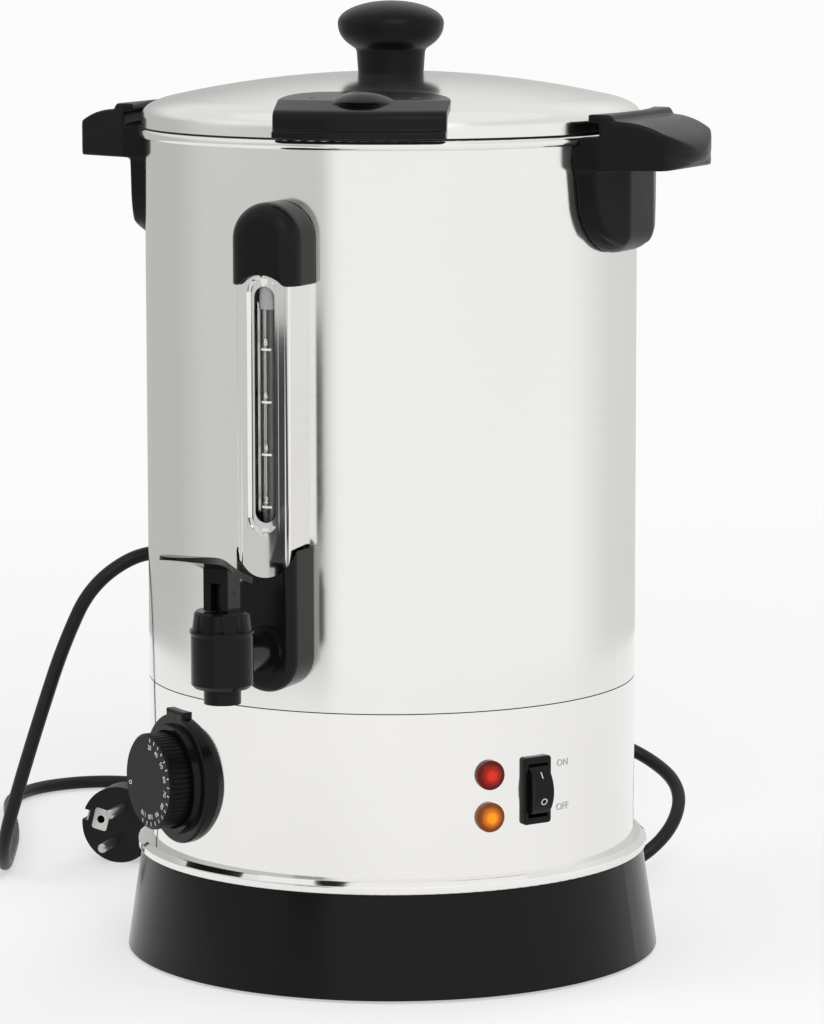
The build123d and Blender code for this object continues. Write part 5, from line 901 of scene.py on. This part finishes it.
WING_TIP_ROUND = 0.0070
PAD_TOE_ROUND = 0.0105
PAD_SEEN_BELOW_Z = 0.370
LUG_BUMP_AT = 0.101
LUG_BUMP_R = 0.0130
LUG_BUMP_H = 0.0050
LUG_BUMP_REACH = 0.008
GUARD_CORNER_R = 0.0045
GUARD_CROWN_R = 0.080
GUARD_CORNER_POWER = 14.0
GUARD_STRIPS = 20
GUARD_SHARP_ANGLE = math.radians(28)


def merged_copy(node):
    """A node's mesh with its loose triangles joined, as a bmesh."""
    work = bmesh.new()
    work.from_mesh(frame["nodes"][node].data)
    bmesh.ops.remove_doubles(work, verts=work.verts, dist=1e-6)
    return work


def eased_corner(out, low, side, height, radius):
    """Takes a square corner at (out, low) to a round one, inside a band of its radius."""
    across = side - (out - radius)
    below = (low + radius) - height
    if across <= 0 or below <= 0:
        return side, height
    ease = max(across, below) / math.hypot(across, below)
    return out - radius + across * ease, low + radius - below * ease


def handle_shape(vertices):
    """Rounds the wing's tip underneath and the toe of the pad."""
    tip = max(abs(vertex.co.x) for vertex in vertices)
    pad_low = min(vertex.co.z for vertex in vertices)
    pad_out = max(abs(vertex.co.x) for vertex in vertices if vertex.co.z < PAD_SEEN_BELOW_Z)
    wing_low = min(v.co.z for v in vertices if abs(v.co.x) > tip - WING_TIP_ROUND / 2)
    for vertex in vertices:
        side, height = abs(vertex.co.x), vertex.co.z
        if side > pad_out + PAD_TOE_ROUND:
            side, height = eased_corner(tip, wing_low, side, height, WING_TIP_ROUND)
        else:
            side, height = eased_corner(pad_out, pad_low, side, height, PAD_TOE_ROUND)
        vertex.co = (math.copysign(side, vertex.co.x), vertex.co.y, height)


def lug_shape(vertices):
    """Fills the lug's thumb bump out to a plain low dome."""
    top = max(vertex.co.z for vertex in vertices)
    middle = sum((vertex.co for vertex in vertices), Vector()) / len(vertices)
    bump = Vector((middle.x, middle.y, 0)).normalized() * LUG_BUMP_AT
    for vertex in vertices:
        span = math.hypot(vertex.co.x - bump.x, vertex.co.y - bump.y) / LUG_BUMP_R
        if span < 1 and vertex.co.z > top - LUG_BUMP_REACH:
            vertex.co.z = max(vertex.co.z, top - LUG_BUMP_H * span * span)


# Node, its body, its grain in metres, passes of smoothing, and what reshapes it first
MOULDINGS = (
    ("handle_left", "urn", 0.0007, 14, handle_shape),
    ("handle_right", "urn", 0.0007, 14, handle_shape),
    ("gauge_cap", "urn", 0.0006, 8, None),
    ("lid_lug_front", "lid", 0.0005, 8, lug_shape),
    ("lid_lug_rear", "lid", 0.0005, 8, lug_shape),
)


def rounded_moulding(node, body, grain, passes, reshape):
    """A moulding with its sharp edges rounded, in place of the plain node."""
    holder = put_in_scene("moulding", closed_mesh(merged_copy(node), "moulding"))
    skin = holder.modifiers.new("skin", "REMESH")
    skin.mode = "VOXEL"
    skin.voxel_size = grain
    mesh = flat_mesh(holder)
    if reshape:
        reshape(mesh.vertices)
    holder = put_in_scene("moulding", mesh)
    ease = holder.modifiers.new("ease", "SMOOTH")
    ease.factor = 0.5
    ease.iterations = passes
    mesh = flat_mesh(holder)
    shade_smooth(mesh)
    return add_stand_in(node, node + "_moulding", mesh, body)


def return_spring():
    """The tap's return spring, smooth shaded, with a mesh of its own."""
    mesh = closed_mesh(merged_copy("tap_spring"), "return_spring")
    shade_smooth(mesh)
    piece = add_stand_in("tap_spring", "return_spring", mesh, "urn")
    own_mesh(piece)
    return piece


def guard_spot(place):
    """Where a point of the plain guard lies on the crowned one with tight corners."""
    side = abs(place.x)
    reach = -place.y
    past_side = side - (GUARD_HALF_W - GUARD_CORNER_R)
    past_front = reach - (GUARD_FRONT_R - GUARD_CORNER_R)
    if past_side > 0 and past_front > 0:
        span = math.hypot(past_side, past_front)
        power = GUARD_CORNER_POWER
        grow = ((past_side / span) ** power + (past_front / span) ** power) ** (-1 / power)
        side += past_side * (grow - 1)
        reach += past_front * (grow - 1)
    share = min(max((reach - GUARD_BACK_R) / (GUARD_FRONT_R - GUARD_BACK_R), 0.0), 1.0)
    fall = GUARD_CROWN_R - math.sqrt(GUARD_CROWN_R ** 2 - side ** 2)
    return Vector((math.copysign(side, place.x), share * fall - reach, place.z))


def crowned_guard():
    """The gauge's polished guard, whose front bows out a little between tight corners."""
    work = merged_copy("gauge_guard")
    for strip in range(1, GUARD_STRIPS):
        across = GUARD_HALF_W * (2 * strip / GUARD_STRIPS - 1)
        everything = work.verts[:] + work.edges[:] + work.faces[:]
        bmesh.ops.bisect_plane(work, geom=everything, plane_co=(across, 0, 0), plane_no=(1, 0, 0))
    for vertex in work.verts:
        vertex.co = guard_spot(vertex.co)
    mesh = closed_mesh(work, "gauge_guard_crowned")
    shade_smooth(mesh)
    mesh.set_sharp_from_angle(angle=GUARD_SHARP_ANGLE)
    return add_stand_in("gauge_guard", "gauge_guard_crowned", mesh, "urn")


for moulding in MOULDINGS:
    rounded_moulding(*moulding)
return_spring()
crowned_guard()


# ---- Mains lead ----

def mains_lead():
    """The lead as one smooth tube along its route, with the plug on its end."""
    curve = bpy.data.curves.new("mains_lead", "CURVE")
    curve.dimensions = "3D"
    curve.bevel_depth = CORD_R
    curve.bevel_resolution = 6
    curve.resolution_u = 12
    curve.use_fill_caps = True
    line = curve.splines.new("NURBS")
    line.points.add(len(CORD_ROUTE) - 1)
    for point, spot in zip(line.points, CORD_ROUTE):
        point.co = (*spot, 1.0)
    line.order_u = 3
    line.use_endpoint_u = True
    lead = put_in_scene("mains_lead", curve)
    curve.materials.append(FINISHES["cord_pvc"])
    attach(lead, "urn")
    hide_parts("mains_cord")
    return lead


mains_lead()


# ---- Floor, surround and light ----

PALE = (0.97, 0.97, 0.965, 1)
FLOOR_HALF = 6.0
FLOOR_TONE = (0.86, 0.86, 0.86, 1)
FLOOR_FADES = (0.45, 1.6)
FLOOR_LEAST_FADE = 0.5
SURROUND_R = 0.95
SURROUND_TALL = 1.5
SURROUND_STEPS = 96
SURROUND_BLUE_SHARE = 0.985
# Brightness of the surround by bearing in degrees, from the tap towards +X
SURROUND_TONES = (
    (-180, 0.72), (-150, 0.52), (-90, 0.56), (-63, 0.68), (-6, 0.66),
    (3, 1.02), (105, 1.02), (147, 0.78), (180, 0.72),
)
SURROUND_EVENS_OUT = (0.58, 0.85)
SURROUND_HIGH = (0.87, 0.87, 0.86, 1)
CARD_R = 0.93
CARD_FROM = -19.0
CARD_TO = -4.5
CARD_LOW_Z = 0.085
CARD_HIGH_Z = 0.235
CARD_TONE = 0.06
WORLD_STRENGTH = 0.55
# Name, place, what it points at, width, height and power in watts
LIGHTS = (
    ("key_light", (1.6, -2.2, 2.2), (0, 0, 0.2), 1.6, 1.6, 60),
    ("fill_light", (-2.0, -1.6, 1.4), (0, 0, 0.2), 1.4, 1.4, 22),
    ("back_light", (0.2, 2.4, 2.0), (0, 0, 0.3), 1.6, 1.0, 20),
)


def seen_rays(w):
    """1 for a ray from the camera, a mirror or glass, and 0 for one that only lights."""
    path = w.node("ShaderNodeLightPath").outputs
    looked = w.math("MAXIMUM", path["Is Camera Ray"], path["Is Glossy Ray"])
    return w.math("MAXIMUM", looked, path["Is Transmission Ray"])


def mixed_to(w, factor, first, second, out):
    """Mixes two shaders into a material's or a world's output."""
    mixed = w.node("ShaderNodeMixShader")
    w.join(factor, mixed.inputs[0])
    w.join(first.outputs[0], mixed.inputs[1])
    w.join(second.outputs[0], mixed.inputs[2])
    w.join(mixed.outputs[0], w.node(out).inputs[0])


def floor_material():
    """Matt floor that fades into the pale room with distance, and keeps near shadows."""
    made = bpy.data.materials.new("pale_floor")
    w = bare_tree(made)
    matt = w.node("ShaderNodeBsdfDiffuse")
    matt.inputs[0].default_value = FLOOR_TONE
    light = w.node("ShaderNodeEmission")
    light.inputs[0].default_value = PALE
    distance = w.node("ShaderNodeVectorMath", operation="LENGTH")
    w.join(w.node("ShaderNodeTexCoord").outputs["Object"], distance.inputs[0])
    fade = w.spread(distance.outputs["Value"], *FLOOR_FADES, FLOOR_LEAST_FADE, 1.0)
    mixed_to(w, w.math("MULTIPLY", seen_rays(w), fade), matt, light, "ShaderNodeOutputMaterial")
    return made


def add_floor():
    corners = [(-1, -1), (1, -1), (1, 1), (-1, 1)]
    mesh = bpy.data.meshes.new("floor")
    mesh.from_pydata([(FLOOR_HALF * x, FLOOR_HALF * y, 0) for x, y in corners], [], [(0, 1, 2, 3)])
    mesh.materials.append(floor_material())
    put_in_scene("floor", mesh)


def glowing_material(name):
    """A material that only glows: itself, its wiring and the socket of its colour."""
    made = bpy.data.materials.new(name)
    w = bare_tree(made)
    glow = w.node("ShaderNodeEmission")
    w.join(glow.outputs[0], w.node("ShaderNodeOutputMaterial").inputs[0])
    return made, w, glow.inputs[0]


def surround_material():
    """Soft grey and white cards round the urn, as one glowing wall."""
    made, w, colour = glowing_material("surround")
    parts = w.split(w.node("ShaderNodeTexCoord").outputs["Object"])
    bearing = w.math("ARCTAN2", parts["X"], w.math("MULTIPLY", parts["Y"], -1.0))
    ramp = w.node("ShaderNodeValToRGB")
    ramp.color_ramp.interpolation = "EASE"
    stops = ramp.color_ramp.elements
    while len(stops) < len(SURROUND_TONES):
        stops.new(0.5)
    for stop, (degrees, tone) in zip(stops, SURROUND_TONES):
        stop.position = (degrees + 180) / 360
        stop.color = (tone, tone, tone * SURROUND_BLUE_SHARE, 1)
    w.join(w.spread(bearing, -math.pi, math.pi), ramp.inputs[0])
    height = w.spread(parts["Z"], *SURROUND_EVENS_OUT)
    w.join(w.blend(height, ramp.outputs[0], SURROUND_HIGH), colour)
    return made


def card_material():
    """One dark card, for the streak in polished corners."""
    made, _, colour = glowing_material("dark_card")
    colour.default_value = (CARD_TONE, CARD_TONE, CARD_TONE, 1)
    return made


def add_wall(name, material, radius, start, sweep, low, high):
    """Upright curved card that only gloss sees, so that the steel has something to mirror."""
    work = bmesh.new()
    rows = []
    for step in range(SURROUND_STEPS + 1):
        spot = spot_on(radius, math.radians(start + sweep * step / SURROUND_STEPS))
        rows.append((work.verts.new((*spot, low)), work.verts.new((*spot, high))))
    for (low_a, high_a), (low_b, high_b) in zip(rows, rows[1:]):
        work.faces.new((low_b, low_a, high_a, high_b))
    bmesh.ops.remove_doubles(work, verts=work.verts, dist=1e-6)
    wall = put_in_scene(name, closed_mesh(work, name))
    wall.data.materials.append(material)
    wall.visible_camera = False
    wall.visible_diffuse = False
    wall.visible_transmission = False
    wall.visible_shadow = False


def add_area_light(name, place, target, width, tall, watts):
    data = bpy.data.lights.new(name, "AREA")
    data.shape = "RECTANGLE"
    data.size = width
    data.size_y = tall
    data.energy = watts
    lamp = put_in_scene(name, data)
    lamp.location = place
    lamp.rotation_euler = (Vector(target) - Vector(place)).to_track_quat("-Z", "Y").to_euler()


def light_world():
    """A pale room that lights the urn softly, and looks brighter than it lights."""
    scene.world = bpy.data.worlds.new("pale_room")
    w = bare_tree(scene.world)
    soft = w.node("ShaderNodeBackground")
    soft.inputs[0].default_value = (1, 1, 1, 1)
    soft.inputs[1].default_value = WORLD_STRENGTH
    seen = w.node("ShaderNodeBackground")
    seen.inputs[0].default_value = PALE
    mixed_to(w, seen_rays(w), soft, seen, "ShaderNodeOutputWorld")


add_floor()
add_wall("surround", surround_material(), SURROUND_R, -180.0, 360.0, 0.0, SURROUND_TALL)
add_wall(
    "dark_card", card_material(), CARD_R, CARD_FROM, CARD_TO - CARD_FROM, CARD_LOW_Z, CARD_HIGH_Z)
light_world()
for light in LIGHTS:
    add_area_light(*light)


# ---- Camera ----

CAMERA_PLACE = Vector((0.9572, -2.0247, 0.5275))
CAMERA_FORWARD = Vector((-0.41933, 0.89713, -0.13925)).normalized()
CAMERA_ROLL = -0.0013
CAMERA_LENS_MM = 163.93
CAMERA_SENSOR_MM = 36.0


def add_camera():
    right = CAMERA_FORWARD.cross(Vector((0, 0, 1))).normalized()
    up = right.cross(CAMERA_FORWARD)
    tilted = right * math.cos(CAMERA_ROLL) + up * math.sin(CAMERA_ROLL)
    upright = tilted.cross(CAMERA_FORWARD)
    data = bpy.data.cameras.new("camera")
    data.sensor_fit = "VERTICAL"
    data.sensor_height = CAMERA_SENSOR_MM
    data.lens = CAMERA_LENS_MM
    data.clip_start = 0.05
    data.clip_end = 50.0
    camera = put_in_scene("camera", data)
    turned = Matrix((tilted, upright, -CAMERA_FORWARD)).transposed().to_4x4()
    turned.translation = CAMERA_PLACE
    camera.matrix_world = turned
    scene.camera = camera


add_camera()
